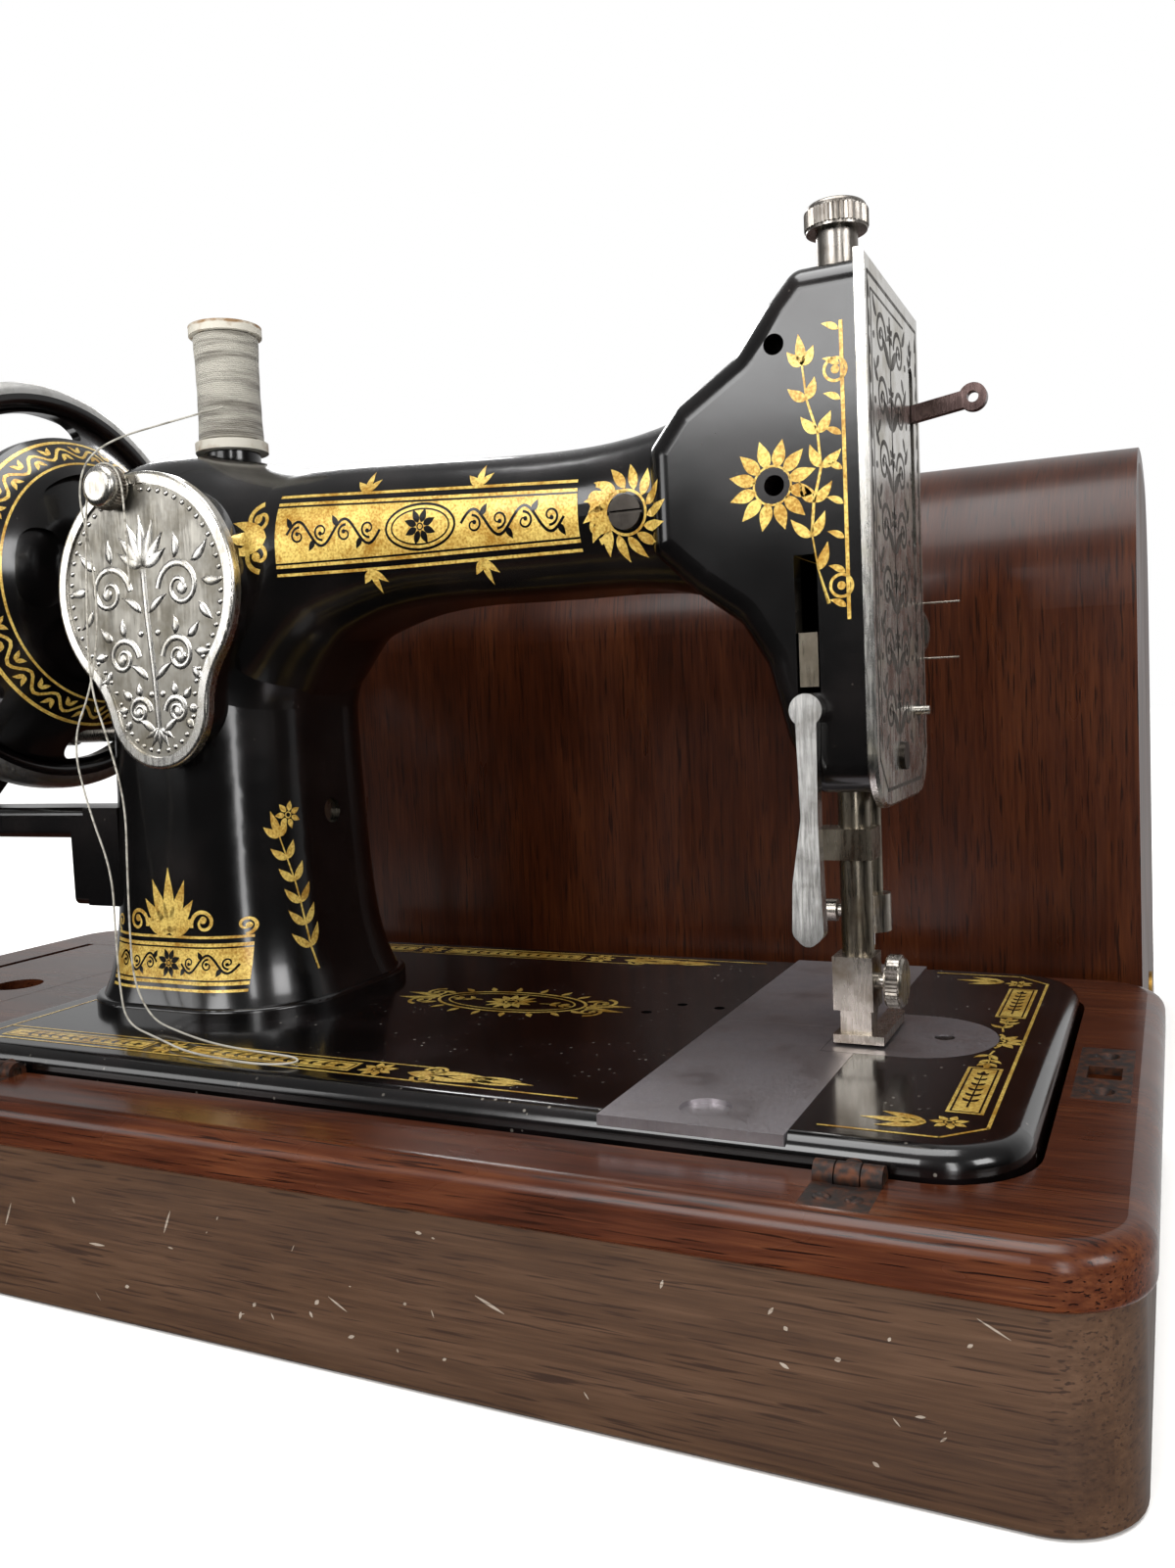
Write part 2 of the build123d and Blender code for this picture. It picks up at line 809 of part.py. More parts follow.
with BuildPart() as needle_plate:
    with BuildSketch(Plane.XY.offset(bed_top - needle_plate_thick)):
        with Locations((plate_centre_x, 0)):
            Circle(needle_plate_radius)
        with Locations(((plate_left + plate_centre_x) / 2, 0)):
            Rectangle(plate_centre_x - plate_left, 2 * needle_plate_radius)
        for side in (-1, 1):
            with Locations((needle_x + side * feed_row_x, 0)):
                Rectangle(
                    feed_row_width + 1,
                    feed_row_length + 2 * feed_travel + 1,
                    mode=Mode.SUBTRACT,
                )
        with Locations((needle_x, needle_bar_y)):
            Circle(needle_hole_radius, mode=Mode.SUBTRACT)
        with Locations((plate_screw_x, 0)):
            Circle(plate_screw_radius, mode=Mode.SUBTRACT)
    extrude(amount=needle_plate_thick)

with BuildPart() as near_slide_plate:
    block(
        (slide_left + sliding, -bed_width / 2, bed_top - slide_thick),
        (slide_right - sliding, slide_meeting_y - sliding, bed_top),
    )
    block(
        (plate_left - sliding, -needle_plate_radius - clear, bed_top - slide_thick),
        (slide_right, slide_meeting_y, bed_top),
        mode=Mode.SUBTRACT,
    )
    bar_z(
        thumb_notch_radius,
        bed_top - slide_thick / 2,
        bed_top,
        (slide_left + slide_right) / 2,
        -bed_width / 2 + 2 * thumb_notch_radius,
        mode=Mode.SUBTRACT,
    )

with BuildPart() as far_slide_plate:
    block(
        (slide_left + sliding, slide_meeting_y + sliding, bed_top - slide_thick),
        (slide_right - sliding, bed_width / 2, bed_top),
    )
    block(
        (plate_left - sliding, slide_meeting_y, bed_top - slide_thick),
        (slide_right, needle_plate_radius + clear, bed_top),
        mode=Mode.SUBTRACT,
    )
    bar_z(
        thumb_notch_radius,
        bed_top - slide_thick / 2,
        bed_top,
        (slide_left + slide_right) / 2,
        bed_width / 2 - 2 * thumb_notch_radius,
        mode=Mode.SUBTRACT,
    )

# Cast head, its outline given from the needle line and the bed's top
head_outline = [
    (head_front, head_bottom),
    (-6.0, head_bottom),
    (-12.0, 80.0),
    (-16.5, 98.0),
    (-23.0, 109.0),
    (-34.0, 117.0),
    (-46.0, 128.0),
    (-46.0, 154.0),
    (-38.0, 164.0),
    (-22.0, 174.0),
    (-13.5, 185.0),
    (-7.0, head_top),
    (head_front, head_top),
]
head_edge_round = 7.0
head_corner_round = 5.0

with BuildPart() as head_block:
    with BuildSketch(Plane.XZ):
        with BuildLine():
            Polyline([(needle_x + dx, bed_top + dz) for dx, dz in head_outline], close=True)
        head_face = make_face()
        fillet(head_face.vertices().sort_by(Axis.X)[:-2], head_corner_round)
    extrude(amount=head_half, both=True)
    head_sides = head_block.faces().filter_by(Axis.Y)
    fillet(head_sides.edges().filter_by_position(Axis.X, 0, face_x - 0.1), head_edge_round)

# Cast arm, from the pillar's foot to the head
arm_reach = needle_x - pillar_x
pillar_sections = [
    (pillar_ring, 43.0, 43.0, 31.0),
    (13.0, 39.8, 40.8, 30.0),
    (35.0, 36.8, 38.6, 29.0),
    (75.0, 35.2, 37.2, 28.0),
    (110.0, 35.5, 37.0, 28.0),
    (shaft_height, 35.5, 37.0, 28.0),
]
arm_sections = [
    (-0.168, 124.0, 168.0, 26.0),
    (-0.140, 114.0, 174.5, 32.0),
    (-0.070, 106.0, 177.0, 36.5),
    (0.030, 98.0, 175.5, 37.0),
    (0.135, 90.0, 169.5, 36.0),
    (0.202, 105.0, 166.8, 34.0),
    (0.264, 115.5, 165.4, 32.5),
    (0.361, 121.0, 163.8, 31.0),
    (0.529, 122.0, 161.2, 30.0),
    (0.649, 121.8, 160.3, 29.5),
    (0.745, 121.0, 162.0, 29.5),
    (0.841, 115.5, 169.0, 30.5),
    (0.913, 103.0, 177.0, 31.5),
]
section_round = 0.46
elbow_x = pillar_x + 62.0
elbow_z = bed_top + 80.0
elbow_sections = [
    (0.0, 27.1, 60.0, 36.8, 28.0),
    (22.5, 29.5, 62.0, 36.2, 27.0),
    (45.0, 33.0, 60.0, 35.0, 25.0),
    (67.5, 36.4, 53.0, 33.2, 23.0),
    (90.0, 38.6, 45.5, 31.6, 20.9),
]
shaft_bore = shaft_radius + running
bracket_boss_x = pillar_x - 40
bar_z_mid = shaft_z - bracket_bar_drop
bar_low = bar_z_mid - bracket_bar_height / 2
bar_high = bar_z_mid + bracket_bar_height / 2
bracket_foot_low = bar_low - 22
bracket_bolt_z = bracket_foot_low + 7
cavity_half = head_half - head_wall
head_cavity = [
    (head_front, head_bottom + head_wall),
    (-1.0, head_bottom + head_wall),
    (-5.5, 83.0),
    (-10.0, 100.0),
    (-16.0, 112.0),
    (-28.0, 122.0),
    (-36.0, 128.0),
    (-36.0, 152.0),
    (-26.0, 161.0),
    (-17.0, 169.5),
    (-8.0, 183.0),
    (-4.0, head_top - head_wall),
    (head_front, head_top - head_wall),
]
cover_upper = (pillar_x + 4.5, bed_top + 130.5)
cover_lower = (pillar_x + 7.0, bed_top + 96.2)


def cover_outline(inset):
    """The rear cover's outline, two rounds with hollow flanks between them, drawn in by an inset."""
    upper, lower = Vector(*cover_upper), Vector(*cover_lower)
    upper_radius, lower_radius = cover_upper_radius - inset, cover_lower_radius - inset
    waist = cover_waist_round + inset
    apart = (lower - upper).length
    down = (lower - upper) / apart
    across = Vector(-down.Y, down.X)
    along = ((upper_radius + waist) ** 2 - (lower_radius + waist) ** 2 + apart**2) / (2 * apart)
    aside = sqrt((upper_radius + waist) ** 2 - along**2)
    flanks = []
    for side in (-1, 1):
        centre = upper + down * along + across * side * aside
        high = upper + (centre - upper) * (upper_radius / (upper_radius + waist))
        low = lower + (centre - lower) * (lower_radius / (lower_radius + waist))
        hollow = centre + ((high + low) / 2 - centre).normalized() * waist
        flanks.append((high, hollow, low))
    with BuildSketch() as outline:
        with BuildLine():
            ThreePointArc(flanks[0][0], upper - down * upper_radius, flanks[1][0])
            ThreePointArc(*flanks[1])
            ThreePointArc(flanks[1][2], lower + down * lower_radius, flanks[0][2])
            ThreePointArc(*flanks[0])
        make_face()
    return outline.sketch


cover_face = cover_outline(0)
cover_field = cover_outline(cover_rim)
cover_pad = cover_outline(cover_pad_inset)
cover_screw_x = pillar_x - 4.0
cover_screw_z = bed_top + 161.0
presser_x = needle_x - presser_bar_back
slot_x = needle_x - 5.0
slot_half = 2.8
slot_low = bed_top + 91.0
slot_high = bed_top + 124.0
lifter_z = bed_top + 87.0
lifter_pin_radius = 2.5
rocker_pin_z = bed_top + 60.0
take_up_x = needle_x - 27.0
take_up_z = bed_top + 146.0
tension_x = needle_x
tension_z = bed_top + 107.0
arm_screw_x = pillar_x + 0.748 * arm_reach
arm_screw_z = shaft_z - 0.7
arm_screw_radius = 4.5
arm_screw_seat = 27.0
arm_screw_face = -30.6
screw_slot = 1.0
spool_x = pillar_x + 4.0
spool_seat = bed_top + 177.0
arm_core_radius = 14.0
oil_holes_head = [(-11.0, 174.0), (-12.0, 141.0)]
oil_hole_radius = 2.5
bar_bore_high = bed_top + head_bottom + head_wall + 12
adjuster_low = bed_top + head_top - head_wall - 6
disc_radius = 15.0
disc_thick = 6.0
disc_x = needle_x - 36 + clear
lifter_pocket_radius = 5.4
lifter_cam_width = 5.5

with BuildPart() as arm:
    with BuildSketch(Plane.XY.offset(bed_top)):
        with Locations((pillar_x, 0)):
            RectangleRounded(2 * pillar_foot, 2 * pillar_foot, pillar_corner)
    extrude(amount=pillar_ring)
    fillet(arm.faces().sort_by(Axis.Z)[-1].edges(), pillar_ring / 3)
    for level, half_x, half_y, corner in pillar_sections:
        with BuildSketch(Plane.XY.offset(bed_top + level)):
            with Locations((pillar_x, 0)):
                RectangleRounded(2 * half_x, 2 * half_y, corner)
    loft()
    for share, low, high, half in arm_sections:
        with BuildSketch(Plane.YZ.offset(pillar_x + share * arm_reach)):
            with Locations((0, bed_top + (low + high) / 2)):
                RectangleRounded(2 * half, high - low, section_round * min(2 * half, high - low))
    loft()
    for angle, reach, depth, half, corner in elbow_sections:
        outward = (-cos(radians(angle)), 0, sin(radians(angle)))
        forward = (sin(radians(angle)), 0, cos(radians(angle)))
        with BuildSketch(Plane(origin=(elbow_x, 0, elbow_z), x_dir=outward, z_dir=forward)):
            with Locations((reach + depth / 2, 0)):
                RectangleRounded(depth, 2 * half, corner)
    loft()
    add(head_block.part)
    with BuildSketch(Plane.XZ.offset(pillar_bore - 4)):
        add(cover_pad)
    extrude(amount=cover_pad_y - pillar_bore + 4)
    block(
        (bracket_boss_x, bracket_y - bracket_bar_width / 2, bracket_foot_low),
        (pillar_x - 25, bracket_y + bracket_bar_width / 2, bar_high),
    )
    bar_z(spool_boss_radius, shaft_z, spool_seat, spool_x, 0)
    with BuildSketch(Plane.XY.offset(bed_top)):
        with Locations((pillar_x, 0)):
            RectangleRounded(2 * pillar_bore, 2 * pillar_bore, pillar_bore / 2)
    extrude(amount=shaft_height + pillar_bore - 4, mode=Mode.SUBTRACT)
    with BuildSketch(Plane.XZ.offset(pillar_bore - 6)):
        with Locations(cover_upper):
            Circle(cover_upper_radius - cover_window_inset)
        with Locations(cover_lower):
            Circle(cover_lower_radius - cover_window_inset)
        make_hull()
    extrude(amount=cover_pad_y, mode=Mode.SUBTRACT)
    with BuildSketch(Plane.XZ):
        with BuildLine():
            Polyline([(needle_x + dx, bed_top + dz) for dx, dz in head_cavity], close=True)
        make_face()
    extrude(amount=cavity_half, both=True, mode=Mode.SUBTRACT)
    bar_x(shaft_bore, pillar_x - pillar_foot, needle_x - 36, 0, shaft_z, mode=Mode.SUBTRACT)
    bar_x(
        disc_radius + 1,
        disc_x - clear,
        disc_x + disc_thick + 2,
        0,
        shaft_z,
        mode=Mode.SUBTRACT,
    )
    bar_x(
        arm_core_radius,
        pillar_x + pillar_bore + 12,
        needle_x - 60,
        0,
        shaft_z,
        mode=Mode.SUBTRACT,
    )
    block(
        (slot_x - slot_half, -head_half, slot_low),
        (slot_x + slot_half, -cavity_half, slot_high),
        mode=Mode.SUBTRACT,
    )
    bar_y(lifter_pin_radius + running, -head_half, -cavity_half, slot_x, lifter_z, mode=Mode.SUBTRACT)
    bar_y(
        lifter_pocket_radius,
        -cavity_half,
        -cavity_half + lifter_cam_width + 1,
        slot_x,
        lifter_z,
        mode=Mode.SUBTRACT,
    )
    bar_y(tension_stud_radius, cavity_half, head_half, tension_x, tension_z, mode=Mode.SUBTRACT)
    bar_y(take_up_pivot_radius, take_up_y - 1, head_half - 1, take_up_x, take_up_z)
    bar_y(
        cover_screw_radius + running,
        -cover_pad_y,
        -pillar_bore,
        cover_screw_x,
        cover_screw_z,
        mode=Mode.SUBTRACT,
    )
    bar_x(
        rocker_pin_radius,
        pillar_x - pillar_foot,
        pillar_x + pillar_foot,
        0,
        rocker_pin_z,
        mode=Mode.SUBTRACT,
    )
    bar_y(arm_screw_radius, -head_half, -arm_screw_seat, arm_screw_x, arm_screw_z, mode=Mode.SUBTRACT)
    bar_z(pin_spigot_radius, spool_seat - pin_socket, spool_seat, spool_x, 0, mode=Mode.SUBTRACT)
    bar_z(
        presser_bar_radius + running,
        bed_top + head_bottom,
        bar_bore_high,
        presser_x,
        presser_bar_y,
        mode=Mode.SUBTRACT,
    )
    bar_z(
        needle_bar_radius + running,
        bed_top + head_bottom,
        bar_bore_high,
        needle_x,
        needle_bar_y,
        mode=Mode.SUBTRACT,
    )
    bar_z(
        adjuster_collar_radius + running,
        adjuster_low - 2,
        bed_top + head_top,
        presser_x,
        presser_bar_y,
        mode=Mode.SUBTRACT,
    )
    for dx, dz in oil_holes_head:
        bar_y(oil_hole_radius, -head_half, -cavity_half, needle_x + dx, bed_top + dz, mode=Mode.SUBTRACT)
    bar_x(
        bracket_bolt_radius,
        bracket_boss_x,
        pillar_x - pillar_bore,
        bracket_y,
        bracket_bolt_z,
        mode=Mode.SUBTRACT,
    )

# Plates on the arm
face_plate_low = bed_top + head_bottom - 4.5
face_plate_high = bed_top + head_top + 0.8
take_up_slot_low = bed_top + 129.0
take_up_slot_high = bed_top + 177.0
face_screw_y = -4.0
face_screw_z = face_plate_low + 12
guide_pin_y = 18.0
guide_pin_z = face_plate_low + 23
guide_pin_radius = 1.2
guide_pin_length = 3.5
face_front = face_x + face_plate_thick

with BuildPart() as face_plate:
    with BuildSketch(Plane.YZ.offset(face_x)):
        with BuildLine():
            Polyline(
                (-head_half, face_plate_low),
                (head_half, face_plate_low),
                (head_half, face_plate_high),
                (-head_half, face_plate_high),
                close=True,
            )
        plate_face = make_face()
        fillet(plate_face.vertices().group_by(Axis.Y)[0], face_plate_low_round)
        fillet(plate_face.vertices().group_by(Axis.Y)[-1], face_plate_top_round)
        with Locations((take_up_y + take_up_thick / 2, (take_up_slot_low + take_up_slot_high) / 2)):
            SlotOverall(
                take_up_slot_high - take_up_slot_low,
                take_up_thick + 2,
                rotation=90,
                mode=Mode.SUBTRACT,
            )
        with Locations((face_screw_y, face_screw_z)):
            Circle(face_screw_radius, mode=Mode.SUBTRACT)
    extrude(amount=face_plate_thick)
    chamfer(face_plate.faces().sort_by(Axis.X)[-1].outer_wire().edges(), 0.8)
    bar_x(guide_pin_radius, face_front, face_front + guide_pin_length, guide_pin_y, guide_pin_z)

cover_back = -cover_pad_y - cover_gap
cover_front = cover_back - cover_thick

with BuildPart() as rear_cover:
    with BuildSketch(Plane.XZ.offset(-cover_back)):
        add(cover_face)
    extrude(amount=cover_thick)
    fillet(rear_cover.faces().sort_by(Axis.Y)[0].edges(), cover_thick / 3)
    with BuildSketch(Plane.XZ.offset(-cover_front)):
        add(cover_field)
    extrude(amount=-cover_thick / 4, mode=Mode.SUBTRACT)
    bar_y(
        cover_screw_radius + running,
        cover_front,
        cover_back,
        cover_screw_x,
        cover_screw_z,
        mode=Mode.SUBTRACT,
    )

with BuildPart() as cover_thumb_screw:
    bar_y(cover_screw_radius, cover_front - clear, -pillar_bore - 2, cover_screw_x, cover_screw_z)
    bar_y(
        cover_knob_radius,
        cover_front - clear - cover_knob_length,
        cover_front - clear,
        cover_screw_x,
        cover_screw_z,
    )
    fillet(cover_thumb_screw.edges().group_by(Axis.Y)[0], cover_knob_length / 3)

with BuildPart() as machine_screws:
    bar_y(arm_screw_radius, arm_screw_face, -arm_screw_seat, arm_screw_x, arm_screw_z)
    block(
        (arm_screw_x - arm_screw_radius, arm_screw_face, arm_screw_z - screw_slot / 2),
        (arm_screw_x + arm_screw_radius, arm_screw_face + screw_slot, arm_screw_z + screw_slot / 2),
        mode=Mode.SUBTRACT,
    )
    bar_x(face_screw_radius, face_x, face_x + face_plate_thick, face_screw_y, face_screw_z)
    bar_x(
        2 * face_screw_radius,
        face_x + face_plate_thick,
        face_x + face_plate_thick + 1.4,
        face_screw_y,
        face_screw_z,
    )
    bar_z(plate_screw_radius, bed_under, bed_top - clear, plate_screw_x, 0)
    bar_x(
        bracket_bolt_radius,
        bracket_boss_x - bracket_thick,
        pillar_x - pillar_bore - 4,
        bracket_y,
        bracket_bolt_z,
    )
    bar_x(
        2 * bracket_bolt_radius,
        bracket_boss_x - bracket_thick - 4,
        bracket_boss_x - bracket_thick,
        bracket_y,
        bracket_bolt_z,
    )

# Handwheel and arm shaft
rim_x = pillar_x + wheel_rim_x
rim_left = rim_x - wheel_rim_width / 2
rim_right = rim_x + wheel_rim_width / 2
rim_inner = wheel_radius - wheel_rim_depth
hub_left = rim_left + clutch_knob_length + 1
hub_right = pillar_x - pillar_foot - wheel_bulge_gap
web_thick = 4.0
dish_radius = wheel_window_radius - wheel_window_width / 2 - 2
crank_pin_x = disc_x + disc_thick + 8
clutch_stud_radius = 4.0
clutch_stud_length = 9.0
cam_half = 5.0
wheel_axis = Axis((0, 0, shaft_z), (1, 0, 0))


def on_wheel(radius, angle):
    """The place, across the wheel, of a point at a radius and an angle from +Y."""
    return (radius * cos(radians(angle)), shaft_z + radius * sin(radians(angle)))


dish_curve = [
    (hub_right, shaft_z + wheel_hub_radius),
    (hub_right - 5, shaft_z + (wheel_hub_radius + dish_radius) / 2 + 4),
    (hub_right - 14, shaft_z + dish_radius),
]

with BuildPart() as dish_ovals:
    with BuildSketch(Plane.XZ):
        with BuildLine():
            floor_curve = [(x - dish_oval_depth, z) for x, z in dish_curve]
            ThreePointArc(*floor_curve)
            Polyline(
                floor_curve[-1],
                (hub_right + 1, shaft_z + dish_radius),
                (hub_right + 1, shaft_z + wheel_hub_radius),
                floor_curve[0],
            )
        make_face()
    revolve(axis=wheel_axis)
    with BuildSketch(Plane.YZ.offset(rim_left)):
        for step in range(dish_hole_count):
            start = step * 360 / dish_hole_count + dish_hole_first - dish_hole_turn / 2
            with BuildLine():
                CenterArc((0, shaft_z), dish_hole_radius, start, dish_hole_turn)
            trace(line_width=dish_hole_width)
            for end in (start, start + dish_hole_turn):
                with Locations(on_wheel(dish_hole_radius, end)):
                    Circle(dish_hole_width / 2)
    extrude(amount=hub_right + 2 - rim_left, mode=Mode.INTERSECT)

with BuildPart() as handwheel:
    with BuildSketch(Plane.XZ):
        with BuildLine():
            Polyline(
                (hub_left, shaft_z + shaft_radius),
                (hub_right, shaft_z + shaft_radius),
                (hub_right, shaft_z + wheel_hub_radius),
            )
            ThreePointArc(*dish_curve)
            Polyline(
                (hub_right - 14, shaft_z + dish_radius),
                (rim_right - 2, shaft_z + rim_inner),
                (rim_right - 2 - web_thick, shaft_z + rim_inner),
                (hub_right - 14 - web_thick, shaft_z + dish_radius),
            )
            ThreePointArc(
                (hub_right - 14 - web_thick, shaft_z + dish_radius),
                (hub_right - 5 - web_thick, shaft_z + (wheel_hub_radius + dish_radius) / 2 + 3),
                (hub_right - web_thick - 2, shaft_z + wheel_hub_radius),
            )
            Polyline(
                (hub_right - web_thick - 2, shaft_z + wheel_hub_radius),
                (hub_left, shaft_z + wheel_hub_radius),
                (hub_left, shaft_z + shaft_radius),
            )
        make_face()
        with Locations((rim_x, shaft_z + wheel_radius - wheel_rim_depth / 2)):
            RectangleRounded(wheel_rim_width, wheel_rim_depth, wheel_rim_depth * 0.45)
    revolve(axis=wheel_axis)
    with BuildSketch(Plane.YZ.offset(rim_left)):
        for step in range(wheel_window_count):
            start = step * 360 / wheel_window_count + wheel_window_first - wheel_window_turn / 2
            with BuildLine():
                CenterArc((0, shaft_z), wheel_window_radius, start, wheel_window_turn)
            trace(line_width=wheel_window_width)
            for end in (start, start + wheel_window_turn):
                with Locations(on_wheel(wheel_window_radius, end)):
                    Circle(wheel_window_width / 2)
    extrude(amount=wheel_rim_width + 12, mode=Mode.SUBTRACT)
    add(dish_ovals.part, mode=Mode.SUBTRACT)

with BuildPart() as arm_shaft:
    bar_x(shaft_radius, hub_left, disc_x + disc_thick, 0, shaft_z)
    bar_x(disc_radius, disc_x, disc_x + disc_thick, 0, shaft_z)
    bar_x(2.5, disc_x, crank_pin_x, 0, shaft_z + disc_radius - 4)
    bar_x(cam_radius, pillar_x - cam_half, pillar_x + cam_half, 0, shaft_z + cam_throw)
    bar_x(
        clutch_stud_radius + running,
        hub_left,
        hub_left + clutch_stud_length + 1,
        0,
        shaft_z,
        mode=Mode.SUBTRACT,
    )

with BuildPart() as clutch_knob:
    bar_x(clutch_knob_radius, hub_left - clear - clutch_knob_length, hub_left - clear, 0, shaft_z)
    fillet(clutch_knob.edges().group_by(Axis.X)[0], clutch_knob_length / 3)
    bar_x(clutch_stud_radius, hub_left - clear, hub_left + clutch_stud_length, 0, shaft_z)

# Hand crank
gear_centres = gear_module * (pinion_teeth + crank_teeth) / 2
crank_y = sqrt(gear_centres**2 - crank_drop**2)
crank_z = shaft_z - crank_drop
gear_right = rim_left - 15
gear_left = gear_right - gear_width
bracket_right = gear_left - 3
bracket_left = bracket_right - bracket_thick
crank_arm_right = bracket_left - 6
crank_arm_thick = 7.0
crank_arm_left = crank_arm_right - crank_arm_thick
mesh_angle = degrees(atan2(crank_z - shaft_z, crank_y))
grip_y = crank_y + crank_radius * cos(radians(crank_angle))
grip_z = crank_z + crank_radius * sin(radians(crank_angle))
grip_right = crank_arm_left - 1
grip_left = grip_right - grip_length
dog_angle = wheel_window_first + 180
dog_y, dog_z = on_wheel(wheel_window_radius, dog_angle)
dog_left = gear_right + 2
dog_right = dog_left + 4
bearing_boss_radius = 12.0


def gear_points(teeth, first_angle, y, z):
    """The outline of a gear with tapered teeth, its first tooth centred on first_angle."""
    pitch_radius = gear_module * teeth / 2
    shape = [
        (pitch_radius - 1.2 * gear_module, 0.72),
        (pitch_radius, 0.40),
        (pitch_radius + 0.85 * gear_module, 0.17),
    ]
    points = []
    for tooth in range(teeth):
        middle = radians(first_angle) + 2 * pi * tooth / teeth
        flank = [(radius, middle - share * pi / teeth) for radius, share in shape]
        back = [(radius, 2 * middle - angle) for radius, angle in reversed(flank)]
        points += [(y + r * cos(a), z + r * sin(a)) for r, a in flank + back]
    return points


with BuildPart() as crank_bracket:
    block(
        (bracket_boss_x - bracket_thick, bracket_y - bracket_bar_width / 2, bracket_foot_low),
        (bracket_boss_x, bracket_y + bracket_bar_width / 2, bar_high),
    )
    block(
        (bracket_left, bracket_y - bracket_bar_width / 2, bar_low),
        (bracket_boss_x, bracket_y + bracket_bar_width / 2, bar_high),
    )
    fillet(crank_bracket.edges().filter_by(Axis.X), 2.5)
    with BuildSketch(Plane.YZ.offset(bracket_left)):
        with Locations((bracket_y, bar_z_mid)):
            Circle(bracket_bar_width / 2)
        with Locations((0, shaft_z), (crank_y, crank_z)):
            Circle(bearing_boss_radius)
        make_hull()
    extrude(amount=bracket_thick)
    bar_x(bearing_boss_radius, bracket_left - 4, bracket_right, crank_y, crank_z)
    bar_x(
        crank_shaft_radius + running,
        bracket_left - 4,
        bracket_right,
        crank_y,
        crank_z,
        mode=Mode.SUBTRACT,
    )
    bar_x(pinion_stud_radius, bracket_right, gear_right - clear, 0, shaft_z)
    bar_x(
        bracket_bolt_radius,
        bracket_boss_x - bracket_thick,
        bracket_boss_x,
        bracket_y,
        bracket_bolt_z,
        mode=Mode.SUBTRACT,
    )

with BuildPart() as crank_pinion:
    with BuildSketch(Plane.YZ.offset(gear_left)):
        with BuildLine():
            Polyline(gear_points(pinion_teeth, mesh_angle, 0, shaft_z), close=True)
        make_face()
        with Locations((0, shaft_z)):
            Circle(pinion_stud_radius + running, mode=Mode.SUBTRACT)
    extrude(amount=gear_width)
    bar_x(pinion_stud_radius + 3, gear_right, dog_right, 0, shaft_z)
    with BuildSketch(Plane.YZ.offset(dog_left)):
        with Locations((0, shaft_z)):
            Circle(pinion_stud_radius + 3)
        with Locations((dog_y, dog_z)):
            Circle(dog_finger_radius + 1)
        make_hull()
    extrude(amount=dog_right - dog_left)
    bar_x(dog_finger_radius, dog_left, rim_right + 6, dog_y, dog_z)

with BuildPart() as crank_gear:
    with BuildSketch(Plane.YZ.offset(gear_left)):
        with BuildLine():
            gap_angle = mesh_angle + 180 + 180 / crank_teeth
            Polyline(gear_points(crank_teeth, gap_angle, crank_y, crank_z), close=True)
        make_face()
    extrude(amount=gear_width)
    bar_x(crank_shaft_radius, crank_arm_left, gear_right, crank_y, crank_z)

with BuildPart() as crank_arm:
    with BuildSketch(Plane.YZ.offset(crank_arm_left)):
        with Locations((crank_y, crank_z)):
            Circle(crank_shaft_radius + 6)
        with Locations((grip_y, grip_z)):
            Circle(crank_pin_radius + 3)
        make_hull()
        with Locations((crank_y, crank_z)):
            Circle(crank_shaft_radius, mode=Mode.SUBTRACT)
    extrude(amount=crank_arm_thick)
    fillet(crank_arm.faces().filter_by(Axis.X).edges().filter_by(GeomType.LINE), 1.5)
    bar_x(crank_pin_radius, grip_left - 2, crank_arm_left + 1, grip_y, grip_z)
    bar_x(crank_pin_radius + 2, grip_left - 4, grip_left - 1, grip_y, grip_z)

grip_axis = Axis((0, grip_y, grip_z), (1, 0, 0))

with BuildPart() as crank_handle:
    with BuildSketch(Plane(origin=(0, grip_y, 0), x_dir=(1, 0, 0), z_dir=(0, -1, 0))):
        with BuildLine():
            Polyline(
                (grip_left, grip_z + crank_pin_radius + running),
                (grip_right, grip_z + crank_pin_radius + running),
                (grip_right, grip_z + grip_radius * 0.6),
            )
            Spline(
                (grip_right, grip_z + grip_radius * 0.6),
                (grip_right - grip_length * 0.3, grip_z + grip_radius * 0.8),
                (grip_left + grip_length * 0.3, grip_z + grip_radius),
                (grip_left, grip_z + grip_radius * 0.75),
            )
            Line(
                (grip_left, grip_z + grip_radius * 0.75),
                (grip_left, grip_z + crank_pin_radius + running),
            )
        make_face()
    revolve(axis=grip_axis)

# Needle bar, clamp and needle
needle_bar_low = bed_top + 28.0
needle_bar_high = bed_top + 166.0
needle_socket = 10.0
needle_tip = bed_top + 3.0
clamp_low = needle_bar_low - 1
clamp_high = needle_bar_low + 9
clamp_wall = 2.0
clamp_screw_radius = 1.7
clamp_head_radius = 3.0
clamp_head_left = needle_x - 12.5
clamp_head_right = needle_x - 9.0
clamp_screw_z = (clamp_low + clamp_high) / 2

with BuildPart() as needle_bar:
    bar_z(needle_bar_radius, needle_bar_low, needle_bar_high, needle_x, needle_bar_y)
    bar_z(
        needle_radius,
        needle_bar_low,
        needle_bar_low + needle_socket,
        needle_x,
        needle_bar_y,
        mode=Mode.SUBTRACT,
    )

